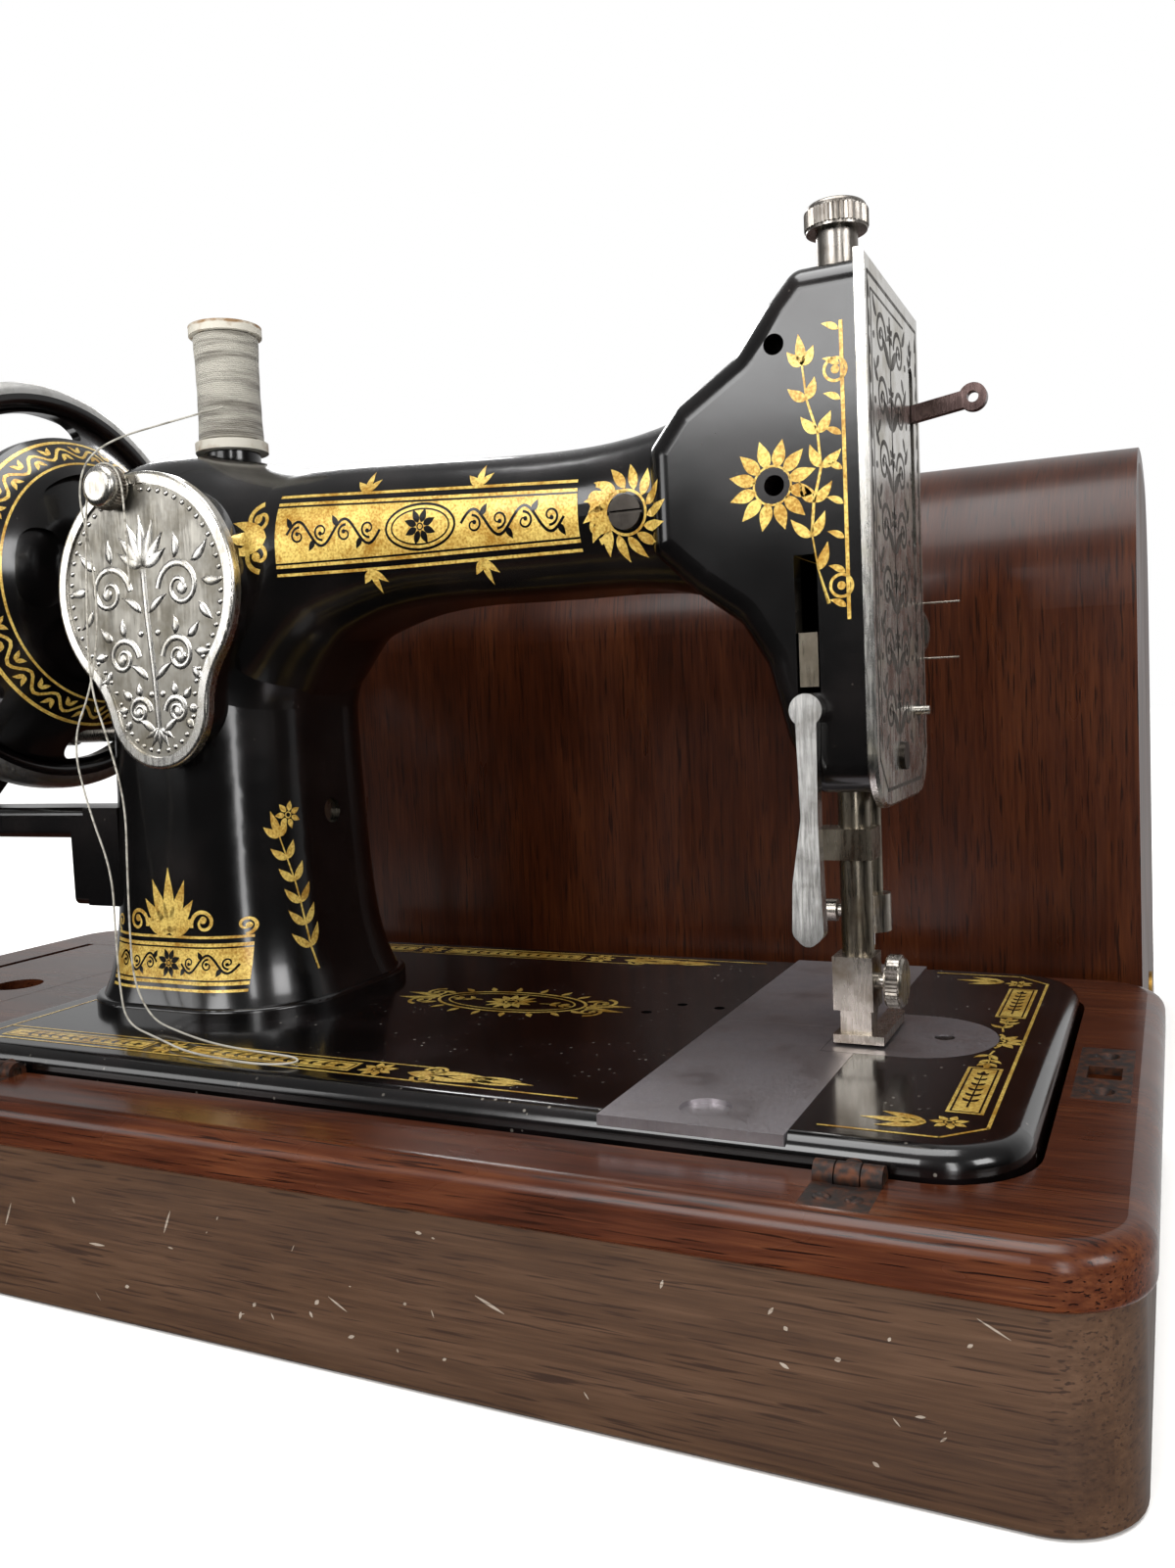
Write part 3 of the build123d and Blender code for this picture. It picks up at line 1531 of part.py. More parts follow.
with BuildPart() as needle_clamp:
    bar_z(needle_bar_radius + clamp_wall, clamp_low, clamp_high, needle_x, needle_bar_y)
    bar_x(clamp_screw_radius, clamp_head_right - 1, needle_x, needle_bar_y, clamp_screw_z)
    bar_x(clamp_head_radius, clamp_head_left, clamp_head_right, needle_bar_y, clamp_screw_z)
    bar_z(needle_bar_radius, needle_bar_low, clamp_high, needle_x, needle_bar_y, mode=Mode.SUBTRACT)
    bar_z(needle_radius, clamp_low, needle_bar_low, needle_x, needle_bar_y, mode=Mode.SUBTRACT)

with BuildPart() as needle:
    with BuildSketch(Plane(origin=(0, needle_bar_y, 0), x_dir=(1, 0, 0), z_dir=(0, -1, 0))):
        with BuildLine():
            Polyline(
                (needle_x, needle_tip),
                (needle_x + needle_radius * 0.55, needle_tip + 4),
                (needle_x + needle_radius * 0.55, needle_tip + 18),
                (needle_x + needle_radius, needle_tip + 20),
                (needle_x + needle_radius, needle_bar_low + needle_socket),
                (needle_x, needle_bar_low + needle_socket),
                close=True,
            )
        make_face()
    revolve(axis=Axis((needle_x, needle_bar_y, 0), (0, 0, 1)))

# Presser bar, foot and lifter
foot_under = bed_top + 0.8
presser_low = foot_under + foot_thick + 12
presser_high = bed_top + head_top - 2
bracket_low = slot_low + 1.5
bracket_high = bracket_low + 13
shank_low = presser_low - 6
shank_high = presser_low + 8
shank_right = presser_x + 4.8
foot_screw_z = presser_low + 1
foot_screw_radius = 2.2
foot_head_radius = 6.5
foot_head_left = presser_x + 7.5
foot_head_right = presser_x + 12.0
foot_heel = presser_bar_y - 7.0
cutter_low = bed_top + 48.0
cutter_high = cutter_low + 8

with BuildPart() as presser_bar:
    bar_z(presser_bar_radius, presser_low, presser_high, presser_x, presser_bar_y)

with BuildPart() as presser_bracket:
    bar_z(presser_bar_radius + 2.4, bracket_low, bracket_high, presser_x, presser_bar_y)
    block(
        (slot_x - slot_half + 0.5, -head_half + 0.5, bracket_low),
        (slot_x + slot_half - 0.5, presser_bar_y, bracket_high),
    )
    block(
        (presser_x - presser_bar_radius - 5, presser_bar_y - 6, cutter_low),
        (presser_x + presser_bar_radius + 1.5, presser_bar_y + 4.6, cutter_high),
    )
    bar_z(presser_bar_radius, cutter_low, bracket_high, presser_x, presser_bar_y, mode=Mode.SUBTRACT)

with BuildPart() as presser_foot:
    block(
        (presser_x - 5.5, presser_bar_y - 6, shank_low),
        (shank_right, presser_bar_y + 5, shank_high),
    )
    block(
        (presser_x - 4.0, presser_bar_y - 5, foot_under),
        (presser_x + 4.0, presser_bar_y + 2, shank_low),
    )
    block(
        (needle_x - foot_width / 2, foot_heel, foot_under),
        (needle_x + foot_width / 2, foot_heel + foot_length, foot_under + foot_thick),
    )
    fillet(presser_foot.edges().filter_by(Axis.Z).group_by(Axis.Y)[-1], 3)
    bar_z(presser_bar_radius, presser_low, shank_high, presser_x, presser_bar_y, mode=Mode.SUBTRACT)
    block(
        (needle_x - 1.4, needle_bar_y - 3, foot_under),
        (needle_x + 1.4, foot_heel + foot_length, foot_under + foot_thick),
        mode=Mode.SUBTRACT,
    )

with BuildPart() as presser_foot_screw:
    bar_x(foot_screw_radius, shank_right, foot_head_left, presser_bar_y, foot_screw_z)
    bar_x(foot_head_radius, foot_head_left, foot_head_right, presser_bar_y, foot_screw_z)
    chamfer(presser_foot_screw.edges().group_by(Axis.X)[-1], 0.6)

lifter_back = -head_half - clear
lobe_radius = 9.5
lobe_angle = 15.0

with BuildPart() as presser_lifter:
    with BuildSketch(Plane.XZ.offset(-lifter_back)):
        with BuildLine():
            Polyline(
                (slot_x - 2.6, lifter_z),
                (slot_x - 2.0, lifter_z - lifter_length * 0.45),
                (slot_x - 4.5, lifter_z - lifter_length * 0.72),
                (slot_x - 5.0, lifter_z - lifter_length + lifter_spoon / 2),
                (slot_x - 5.0 + lifter_spoon / 2, lifter_z - lifter_length),
                (slot_x - 5.0 + lifter_spoon, lifter_z - lifter_length + lifter_spoon / 2),
                (slot_x + 2.4, lifter_z - lifter_length * 0.72),
                (slot_x + 2.2, lifter_z - lifter_length * 0.45),
                (slot_x + 2.6, lifter_z),
                close=True,
            )
        make_face()
        with Locations((slot_x, lifter_z)):
            Circle(4.0)
    extrude(amount=lifter_thick)
    fillet(presser_lifter.edges().filter_by(Axis.Y).sort_by(Axis.Z)[:3], lifter_spoon / 3)
    bar_y(lifter_pin_radius, lifter_back, -cavity_half + 6, slot_x, lifter_z)
    with BuildSketch(Plane.XZ.offset(cavity_half - clear)):
        with Locations((slot_x, lifter_z)):
            Circle(lifter_pin_radius + 0.7)
        lobe_x = slot_x + (lobe_radius - 2) * cos(radians(lobe_angle))
        lobe_z = lifter_z + (lobe_radius - 2) * sin(radians(lobe_angle))
        with Locations((lobe_x, lobe_z)):
            Circle(2)
        make_hull()
    extrude(amount=-lifter_cam_width)

adjuster_neck = bed_top + head_top + adjuster_rise

with BuildPart() as presser_adjuster:
    bar_z(adjuster_collar_radius, adjuster_low, adjuster_neck, presser_x, presser_bar_y)
    bar_z(
        adjuster_knob_radius,
        adjuster_neck,
        adjuster_neck + adjuster_knob_height,
        presser_x,
        presser_bar_y,
    )
    fillet(presser_adjuster.edges().group_by(Axis.Z)[-1], adjuster_knob_height / 4)
    bar_z(
        presser_bar_radius + clear,
        adjuster_low,
        presser_high + presser_lift + 3,
        presser_x,
        presser_bar_y,
        mode=Mode.SUBTRACT,
    )

spring_radius = presser_bar_radius + presser_wire + 1.2
spring_room = adjuster_low - bracket_high - presser_wire - 2 * clear
spring_path = coil(spring_radius, spring_room / presser_coils, presser_coils, presser_wire)
spring_place = Location((presser_x, presser_bar_y, bracket_high + presser_wire / 2 + clear))
spring_path = spring_path.moved(spring_place)
print("presser spring least gap", round(least_gap(spring_path, presser_coils, presser_wire), 2))

with BuildPart() as presser_spring:
    with BuildSketch(Plane(origin=spring_path @ 0, z_dir=spring_path % 0)):
        Circle(presser_wire / 2)
    sweep(path=spring_path)

# Take-up lever
take_up_bend = (take_up_x + 28, take_up_z + 17)
take_up_eye = (take_up_x + 54, take_up_z + 21)

with BuildPart() as take_up_lever:
    with BuildSketch(Plane.XZ.offset(-take_up_y)):
        with BuildLine():
            Polyline((take_up_x, take_up_z), take_up_bend, take_up_eye)
        trace(line_width=take_up_width)
        with Locations((take_up_x, take_up_z)):
            Circle(take_up_pivot_radius + take_up_boss)
            Circle(take_up_pivot_radius + running, mode=Mode.SUBTRACT)
        with Locations(take_up_eye):
            Circle(take_up_eye_radius)
            Circle(take_up_eye_hole, mode=Mode.SUBTRACT)
    extrude(amount=-take_up_thick)

# Thread tension
flange_end = head_half + 4.0
disc_start = flange_end + clear
stud_end = head_half + 28
nut_length = 8.0
nut_start = stud_end - nut_length - 1

with BuildPart() as tension_stud:
    bar_y(tension_stud_radius, cavity_half - 2, stud_end, tension_x, tension_z)
    bar_y(tension_flange_radius, head_half, flange_end, tension_x, tension_z)

with BuildPart() as tension_discs:
    for place in range(2):
        start = disc_start + place * (tension_disc_thick + clear)
        bar_y(tension_disc_radius, start, start + tension_disc_thick, tension_x, tension_z)
        bar_y(
            tension_stud_radius + running,
            start,
            start + tension_disc_thick,
            tension_x,
            tension_z,
            mode=Mode.SUBTRACT,
        )

discs_end = disc_start + 2 * tension_disc_thick + clear
tension_room = nut_start - discs_end - tension_wire * 2 - 2 * clear
tension_path = coil(tension_coil_radius, tension_room / tension_coils, tension_coils, tension_wire)
tension_place = Location((tension_x, discs_end + tension_wire + clear, tension_z), (-90, 0, 0))
tension_path = tension_path.moved(tension_place)
print("tension spring least gap", round(least_gap(tension_path, tension_coils, tension_wire), 2))

with BuildPart() as tension_spring:
    with BuildSketch(Plane(origin=tension_path @ 0, z_dir=tension_path % 0)):
        Circle(tension_wire / 2)
    sweep(path=tension_path)

with BuildPart() as tension_nut:
    bar_y(tension_nut_radius, nut_start, nut_start + nut_length, tension_x, tension_z)
    chamfer(tension_nut.edges().group_by(Axis.Y)[-1], 0.8)
    bar_y(
        tension_stud_radius + running,
        nut_start,
        nut_start + nut_length,
        tension_x,
        tension_z,
        mode=Mode.SUBTRACT,
    )

check_turns = 1.5
check_pitch = 1.3
check_reach = 20.0
check_path = coil(tension_flange_radius + check_wire + clear, check_pitch, check_turns, check_reach)
check_place = Location((tension_x, head_half + check_wire + clear, tension_z))
check_place = check_place * Rotation(0, 90, 0) * Rotation(-90, 0, 0)
check_path = check_path.moved(check_place)
print("check spring least gap", round(least_gap(check_path, check_turns, check_wire), 2))

with BuildPart() as check_spring:
    with BuildSketch(Plane(origin=check_path @ 0, z_dir=check_path % 0)):
        Circle(check_wire / 2)
    sweep(path=check_path)

# Spool pins, spool and its thread
spool_low = spool_seat + clear
spool_core = 7.0
winding_core = spool_radius - 2.4

with BuildPart() as spool_pins:
    bar_z(pin_spigot_radius, spool_seat - pin_socket, spool_seat, spool_x, 0)
    bar_z(spool_pin_radius, spool_seat, spool_low + spool_height + spool_pin_proud, spool_x, 0)
    bar_z(pin_spigot_radius, bed_top - bed_plate / 2, bed_top, bed_pin_x, bed_pin_y)
    bar_z(spool_pin_radius, bed_top, bed_top + bed_pin_height, bed_pin_x, bed_pin_y)

with BuildPart() as spool:
    bar_z(spool_core, spool_low, spool_low + spool_height, spool_x, 0)
    bar_z(spool_radius, spool_low, spool_low + spool_flange, spool_x, 0)
    bar_z(spool_radius, spool_low + spool_height - spool_flange, spool_low + spool_height, spool_x, 0)
    bar_z(
        spool_pin_radius + running,
        spool_low,
        spool_low + spool_height,
        spool_x,
        0,
        mode=Mode.SUBTRACT,
    )

winding_room = spool_height - 2 * spool_flange
winding_path = coil(winding_core + winding_wire / 2 + 0.1, winding_pitch, winding_turns, winding_wire)
winding_low = spool_low + spool_flange + (winding_room - winding_turns * winding_pitch) / 2
winding_path = winding_path.moved(Location((spool_x, 0, winding_low)))
print("spool winding least gap", round(least_gap(winding_path, winding_turns, winding_wire), 2))

with BuildPart() as spool_thread:
    bar_z(
        winding_core,
        spool_low + spool_flange,
        spool_low + spool_height - spool_flange,
        spool_x,
        0,
    )
    bar_z(
        spool_core,
        spool_low + spool_flange,
        spool_low + spool_height - spool_flange,
        spool_x,
        0,
        mode=Mode.SUBTRACT,
    )
    with BuildSketch(Plane(origin=winding_path @ 0, z_dir=winding_path % 0)):
        Circle(winding_wire / 2)
    sweep(path=winding_path)

# Shuttle, feed and rocker under the bed
carrier_high = bed_under - carrier_boss - clear
carrier_low = carrier_high - carrier_thick
shuttle_x = carrier_x + carrier_radius
shuttle_z = carrier_high + clear + shuttle_radius
cradle_half = shuttle_radius + 2.5
shuttle_bore = shuttle_radius * 0.62
bobbin_radius = shuttle_bore - clear

with BuildPart() as shuttle_carrier:
    with BuildSketch(Plane.XY.offset(carrier_low)):
        with Locations((carrier_x, 0)):
            Circle(carrier_stud_radius + 4.5)
        with Locations((shuttle_x - cradle_half, 0)):
            Circle(7)
        make_hull()
        with Locations((shuttle_x, 0)):
            Rectangle(2 * cradle_half, shuttle_length + 6)
        with Locations((carrier_x, 0)):
            Circle(carrier_stud_radius + running, mode=Mode.SUBTRACT)
    extrude(amount=carrier_thick)
    for side in (-1, 1):
        wall_y = side * (shuttle_length / 2 + 2)
        block(
            (shuttle_x - cradle_half, wall_y - 1, carrier_high),
            (shuttle_x + cradle_half, wall_y + 1, shuttle_z + 1),
        )

with BuildPart() as shuttle:
    with BuildSketch(Plane(origin=(shuttle_x, 0, 0), x_dir=(0, 1, 0), z_dir=(1, 0, 0))):
        with BuildLine():
            Polyline(
                (shuttle_length / 2, shuttle_z),
                (shuttle_length * 0.18, shuttle_z),
                (shuttle_length * 0.18, shuttle_z + shuttle_bore),
                (-shuttle_length / 2, shuttle_z + shuttle_bore),
                (-shuttle_length / 2, shuttle_z + shuttle_radius * 0.75),
                (-shuttle_length * 0.38, shuttle_z + shuttle_radius),
                (0, shuttle_z + shuttle_radius),
                (shuttle_length * 0.15, shuttle_z + shuttle_radius * 0.93),
                (shuttle_length * 0.30, shuttle_z + shuttle_radius * 0.70),
                (shuttle_length * 0.42, shuttle_z + shuttle_radius * 0.36),
                close=True,
            )
        make_face()
    revolve(axis=Axis((shuttle_x, 0, shuttle_z), (0, 1, 0)))

bobbin_start = -shuttle_length * 0.40
bobbin_end = shuttle_length * 0.16
bobbin_core = 1.2
bobbin_flange = 1.2

with BuildPart() as bobbin:
    bar_y(bobbin_core, bobbin_start, bobbin_end, shuttle_x, shuttle_z)
    bar_y(bobbin_radius, bobbin_start, bobbin_start + bobbin_flange, shuttle_x, shuttle_z)
    bar_y(bobbin_radius, bobbin_end - bobbin_flange, bobbin_end, shuttle_x, shuttle_z)

dog_under = bed_under - 2
dog_thick = 3.0
dog_hole_radius = feed_travel + needle_radius

with BuildPart() as feed_bar:
    block(
        (lug_xs[0] - lug_half, -feed_bar_width / 2, feed_z - feed_bar_thick / 2),
        (lug_xs[1] + lug_half, feed_bar_width / 2, feed_z + feed_bar_thick / 2),
    )
    for lug_x in lug_xs:
        bar_y(
            feed_pin_radius + running,
            -feed_bar_width / 2,
            feed_bar_width / 2,
            lug_x,
            feed_z,
            mode=Mode.SUBTRACT,
        )
    block((needle_x - 3, -feed_bar_width / 2 - 3, feed_z), (needle_x + 3, -3, dog_under))
    block(
        (needle_x - feed_row_x - feed_row_width / 2, -feed_row_length / 2 - 1, dog_under),
        (needle_x + feed_row_x + feed_row_width / 2, feed_row_length / 2 + 1, dog_under + dog_thick),
    )
    for side in (-1, 1):
        row_x = needle_x + side * feed_row_x
        block(
            (row_x - feed_row_width / 2, -feed_row_length / 2, dog_under + dog_thick),
            (row_x + feed_row_width / 2, feed_row_length / 2, bed_top + 0.5),
        )
    bar_z(dog_hole_radius, dog_under, dog_under + dog_thick, needle_x, needle_bar_y, mode=Mode.SUBTRACT)

rocker_top = shaft_z + 14
rocker_bottom = bed_under - 26
rocker_half = 5.0
fork_inside = 16.0
fork_outside = 20.0
fork_low = shaft_z - 26

with BuildPart() as rocker_lever:
    block(
        (pillar_x - rocker_thick / 2, -rocker_half, rocker_bottom),
        (pillar_x + rocker_thick / 2, rocker_half, fork_low),
    )
    block(
        (pillar_x - rocker_thick / 2, -fork_outside, fork_low),
        (pillar_x + rocker_thick / 2, fork_outside, rocker_top),
    )
    block(
        (pillar_x - rocker_thick / 2, -fork_inside, fork_low + 6),
        (pillar_x + rocker_thick / 2, fork_inside, rocker_top),
        mode=Mode.SUBTRACT,
    )
    bar_x(rocker_boss_radius, pillar_x - rocker_thick, pillar_x + rocker_thick, 0, rocker_pin_z)
    bar_x(
        rocker_pin_radius + running,
        pillar_x - rocker_thick,
        pillar_x + rocker_thick,
        0,
        rocker_pin_z,
        mode=Mode.SUBTRACT,
    )

with BuildPart() as pivot_pins:
    bar_z(carrier_stud_radius, carrier_low - clear, bed_top - 2, carrier_x, 0)
    bar_z(carrier_stud_radius + 3, carrier_low - clear - 2.5, carrier_low - clear, carrier_x, 0)
    for lug_x in lug_xs:
        bar_y(feed_pin_radius, -lug_outside, lug_outside, lug_x, feed_z)
    bar_x(rocker_pin_radius, pillar_x - rocker_pin_half, pillar_x + rocker_pin_half, 0, rocker_pin_z)

# Loose thread, its places given from the pillar's middle and the bed's top
thread_route = [
    (9.4, -9.3, 190.0),
    (-2.7, -16.3, 186.5),
    (-11.5, -43.0, 175.5),
    (-15.0, -48.5, 163.0),
    (-12.5, -47.0, 144.0),
    (-11.5, -46.6, 124.0),
    (-16.0, -46.6, 103.0),
    (-26.5, -46.6, 86.0),
    (-21.0, -46.6, 64.0),
    (-13.5, -46.6, 46.0),
    (-13.5, -46.8, 28.0),
    (-10.5, -49.5, 11.0),
    (-2.0, -56.0, 1.5),
    (18.7, -64.5, 1.0),
    (38.0, -73.5, 1.0),
    (55.0, -76.0, 1.0),
    (64.0, -76.8, 1.0),
    (70.5, -75.5, 1.0),
    (73.8, -73.2, 1.0),
    (73.6, -70.6, 1.0),
    (70.5, -68.7, 1.0),
    (64.0, -67.8, 1.0),
    (51.0, -66.8, 1.0),
    (36.0, -63.5, 1.0),
    (18.0, -56.5, 1.0),
    (4.0, -51.8, 2.3),
    (-5.0, -49.3, 12.5),
    (-7.5, -46.8, 30.0),
    (-7.0, -46.6, 47.0),
    (-5.5, -47.0, 67.0),
    (-9.5, -48.2, 86.0),
    (-15.0, -48.8, 103.0),
    (-14.0, -48.4, 130.0),
    (-10.95, -48.3, 165.0),
    (-4.0, -48.3, 169.0),
    (2.95, -48.3, 165.0),
    (3.3, -48.0, 150.0),
    (1.5, -46.2, 132.0),
]
thread_points = [Vector(pillar_x + dx, y, bed_top + dz) for dx, y, dz in thread_route]
thread_radii = []
for before, corner, after in zip(thread_points, thread_points[1:], thread_points[2:]):
    run_in = corner - before
    run_out = after - corner
    half_turn = radians(run_in.get_angle(run_out)) / 2
    thread_radii.append(0.45 * min(run_in.length, run_out.length) / tan(half_turn))

with BuildPart() as loose_thread:
    with BuildLine() as thread_line:
        FilletPolyline(*thread_points, radius=thread_radii)
    with BuildSketch(Plane(origin=thread_line.line @ 0, z_dir=thread_line.line % 0)):
        Circle(thread_diameter / 2)
    sweep()

thread_length = sum(edge.length for edge in thread_line.edges())
print("thread radii", [round(radius, 1) for radius in thread_radii])
print("thread length", round(thread_length, 1))
print("thread volume against section times length")
print(round(loose_thread.part.volume, 1), round(pi * thread_diameter**2 / 4 * thread_length, 1))

pieces = {
    "base_floor": base_floor,
    "base_walls": base_walls,
    "base_top_frame": base_top_frame,
    "base_inner_blocks": base_inner_blocks,
    "bed_hinge_straps": bed_hinge_straps,
    "bed_hinge_pins": bed_hinge_pins,
    "bed_hinge_knuckles": bed_hinge_knuckles,
    "lock_strike_plate": lock_strike_plate,
    "accessory_lid": accessory_lid,
    "accessory_lid_pins": accessory_lid_pins,
    "lid_shell": lid_shell,
    "lid_end_boards": lid_end_boards,
    "lid_lock_case": lid_lock_case,
    "lid_lock_bolt": lid_lock_bolt,
    "lid_escutcheon": lid_escutcheon,
    "lid_handle_brackets": lid_handle_brackets,
    "lid_handle": lid_handle,
    "bed": bed,
    "needle_plate": needle_plate,
    "near_slide_plate": near_slide_plate,
    "far_slide_plate": far_slide_plate,
    "arm": arm,
    "face_plate": face_plate,
    "rear_cover": rear_cover,
    "cover_thumb_screw": cover_thumb_screw,
    "machine_screws": machine_screws,
    "handwheel": handwheel,
    "arm_shaft": arm_shaft,
    "clutch_knob": clutch_knob,
    "crank_bracket": crank_bracket,
    "crank_pinion": crank_pinion,
    "crank_gear": crank_gear,
    "crank_arm": crank_arm,
    "crank_handle": crank_handle,
    "needle_bar": needle_bar,
    "needle_clamp": needle_clamp,
    "needle": needle,
    "presser_bar": presser_bar,
    "presser_bracket": presser_bracket,
    "presser_foot": presser_foot,
    "presser_foot_screw": presser_foot_screw,
    "presser_lifter": presser_lifter,
    "presser_adjuster": presser_adjuster,
    "presser_spring": presser_spring,
    "take_up_lever": take_up_lever,
    "tension_stud": tension_stud,
    "tension_discs": tension_discs,
    "tension_spring": tension_spring,
    "tension_nut": tension_nut,
    "check_spring": check_spring,
    "spool_pins": spool_pins,
    "spool": spool,
    "spool_thread": spool_thread,
    "shuttle_carrier": shuttle_carrier,
    "shuttle": shuttle,
    "bobbin": bobbin,
    "feed_bar": feed_bar,
    "rocker_lever": rocker_lever,
    "pivot_pins": pivot_pins,
    "loose_thread": loose_thread,
}

# Each piece is written under its own name
os.makedirs("parts", exist_ok=True)
for name, piece in pieces.items():
    piece.part.label = name
    export_step(piece.part, f"parts/{name}.step")
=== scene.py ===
"""Finishes, ornament and stage for a hand-crank sewing machine standing in its wooden base.

Lengths are millimetres in the part's own frame, and turn to metres where Blender takes them.
"""

import logging
import math
import random
from dataclasses import dataclass, field
from enum import Enum
from typing import Callable, Iterable, Sequence

import bpy
from mathutils import Matrix, Vector
from mathutils.bvhtree import BVHTree


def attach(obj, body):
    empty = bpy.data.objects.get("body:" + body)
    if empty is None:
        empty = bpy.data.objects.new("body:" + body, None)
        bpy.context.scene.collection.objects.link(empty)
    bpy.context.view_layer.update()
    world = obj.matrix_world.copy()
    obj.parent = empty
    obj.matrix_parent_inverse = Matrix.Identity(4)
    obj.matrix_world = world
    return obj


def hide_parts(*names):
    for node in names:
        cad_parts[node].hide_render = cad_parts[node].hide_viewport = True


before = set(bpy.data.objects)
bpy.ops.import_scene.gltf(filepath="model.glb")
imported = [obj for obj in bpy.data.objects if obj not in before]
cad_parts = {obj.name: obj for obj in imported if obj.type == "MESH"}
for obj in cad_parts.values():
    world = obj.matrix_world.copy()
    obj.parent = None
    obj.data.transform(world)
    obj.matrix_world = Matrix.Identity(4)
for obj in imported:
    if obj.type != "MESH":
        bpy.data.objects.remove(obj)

LOG = logging.getLogger("sewing_machine")
MM = 0.001
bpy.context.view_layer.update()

Point = tuple[float, float]
Place = tuple[float, float, float]
Colour = tuple[float, float, float, float]
Faces = list[list[int]]
Tree = bpy.types.NodeTree
Node = bpy.types.Node
Socket = bpy.types.NodeSocket
Thing = bpy.types.Object


class Body(str, Enum):
    """The moving bodies that added pieces ride on."""

    BASE = "base"
    MACHINE = "machine"
    WHEEL = "wheel"
    COVER = "cover"
    COVER_SCREW = "cover_screw"
    ADJUSTER = "adjuster"
    PRESSER = "presser"
    TENSION = "tension_knob"
    REEL = "reel"


class Grain(Enum):
    """The way that wood fibres run, as the stretch along x, y and z."""

    ALONG_X = (0.035, 1.0, 1.0)
    OVER_ARCH = (1.0, 0.045, 0.045)
    UPRIGHT = (1.0, 1.0, 0.035)


def linear(code: str) -> Colour:
    """Turn an sRGB hex colour to linear values.

    Args:
        code: The colour, such as "#7A3318".

    Returns:
        Red, green, blue and an alpha of one.
    """
    shares = [int(code[i : i + 2], 16) / 255 for i in (1, 3, 5)]
    red, green, blue = (s / 12.92 if s <= 0.04045 else ((s + 0.055) / 1.055) ** 2.4 for s in shares)
    return (red, green, blue, 1.0)


def grey(value: float) -> Colour:
    """Give a ramp colour with one value in its three channels."""
    return (value, value, value, 1.0)


def per_metre(size: float) -> float:
    """Give a texture scale whose features are size millimetres across."""
    return 1.0 / (size * MM)


def add(
    tree: Tree,
    kind: str,
    inputs: dict | None = None,
    stops: Sequence[tuple[float, Colour]] = (),
    **settings: object,
) -> Node:
    """Add a shader node with its settings and links.

    Args:
        tree: The node tree.
        kind: The node's type name, without its ShaderNode prefix.
        inputs: Socket name or place to a constant, a socket, or a node whose first output feeds it.
        stops: Places and colours, where the node has a colour ramp.
        settings: The node's own properties.

    Returns:
        The new node.
    """
    made = tree.nodes.new(f"ShaderNode{kind}")
    for name, value in settings.items():
        setattr(made, name, value)
    for name, value in (inputs or {}).items():
        if isinstance(value, Node):
            value = next(socket for socket in value.outputs if socket.enabled)
        if isinstance(value, Socket):
            tree.links.new(value, made.inputs[name])
        else:
            made.inputs[name].default_value = value
    for number, (position, colour) in enumerate(stops):
        ramp = made.color_ramp.elements
        stop = ramp[number] if number < len(ramp) else ramp.new(position)
        stop.position, stop.color = position, colour
    return made


def between(start: Point, end: Point, count: int) -> list[Point]:
    """Divide a straight line into even runs.

    Args:
        start: The line's start.
        end: Its end.
        count: How many runs it is divided into.

    Returns:
        The points, with both ends.
    """
    (u0, v0), (u1, v1) = start, end
    return [(u0 + (u1 - u0) * i / count, v0 + (v1 - v0) * i / count) for i in range(count + 1)]


def polar(centre: Point, radius: float, angle: float) -> Point:
    """Give the place at a radius and an angle in radians from a centre."""
    return (centre[0] + radius * math.cos(angle), centre[1] + radius * math.sin(angle))


def tube_faces(rings: int, sides: int, first: int = 0) -> Faces:
    """Join rings of points into an open tube.

    Args:
        rings: How many rings there are.
        sides: How many points each has.
        first: The first point's number.

    Returns:
        The faces, by vertex number.
    """
    faces: Faces = []
    for ring in range(rings - 1):
        low, high = first + ring * sides, first + (ring + 1) * sides
        for i in range(sides):
            j = (i + 1) % sides
            faces.append([low + i, low + j, high + j, high + i])
    return faces


@dataclass(frozen=True)
class Finish:
    """A surface finish that makes one material."""

    name: str

    def material(self) -> bpy.types.Material:
        """Build the material.

        Returns:
            The new material, with its nodes.
        """
        made = bpy.data.materials.new(self.name)
        made.use_nodes = True
        tree = made.node_tree
        tree.nodes.clear()
        shader = add(tree, "BsdfPrincipled", self.inputs(tree))
        add(tree, "OutputMaterial", {"Surface": shader})
        return made

    def inputs(self, tree: Tree) -> dict:
        """Add the nodes that feed the shader.

        Args:
            tree: The material's node tree.

        Returns:
            The shader's inputs, each a constant, a socket or a node.
        """
        raise NotImplementedError


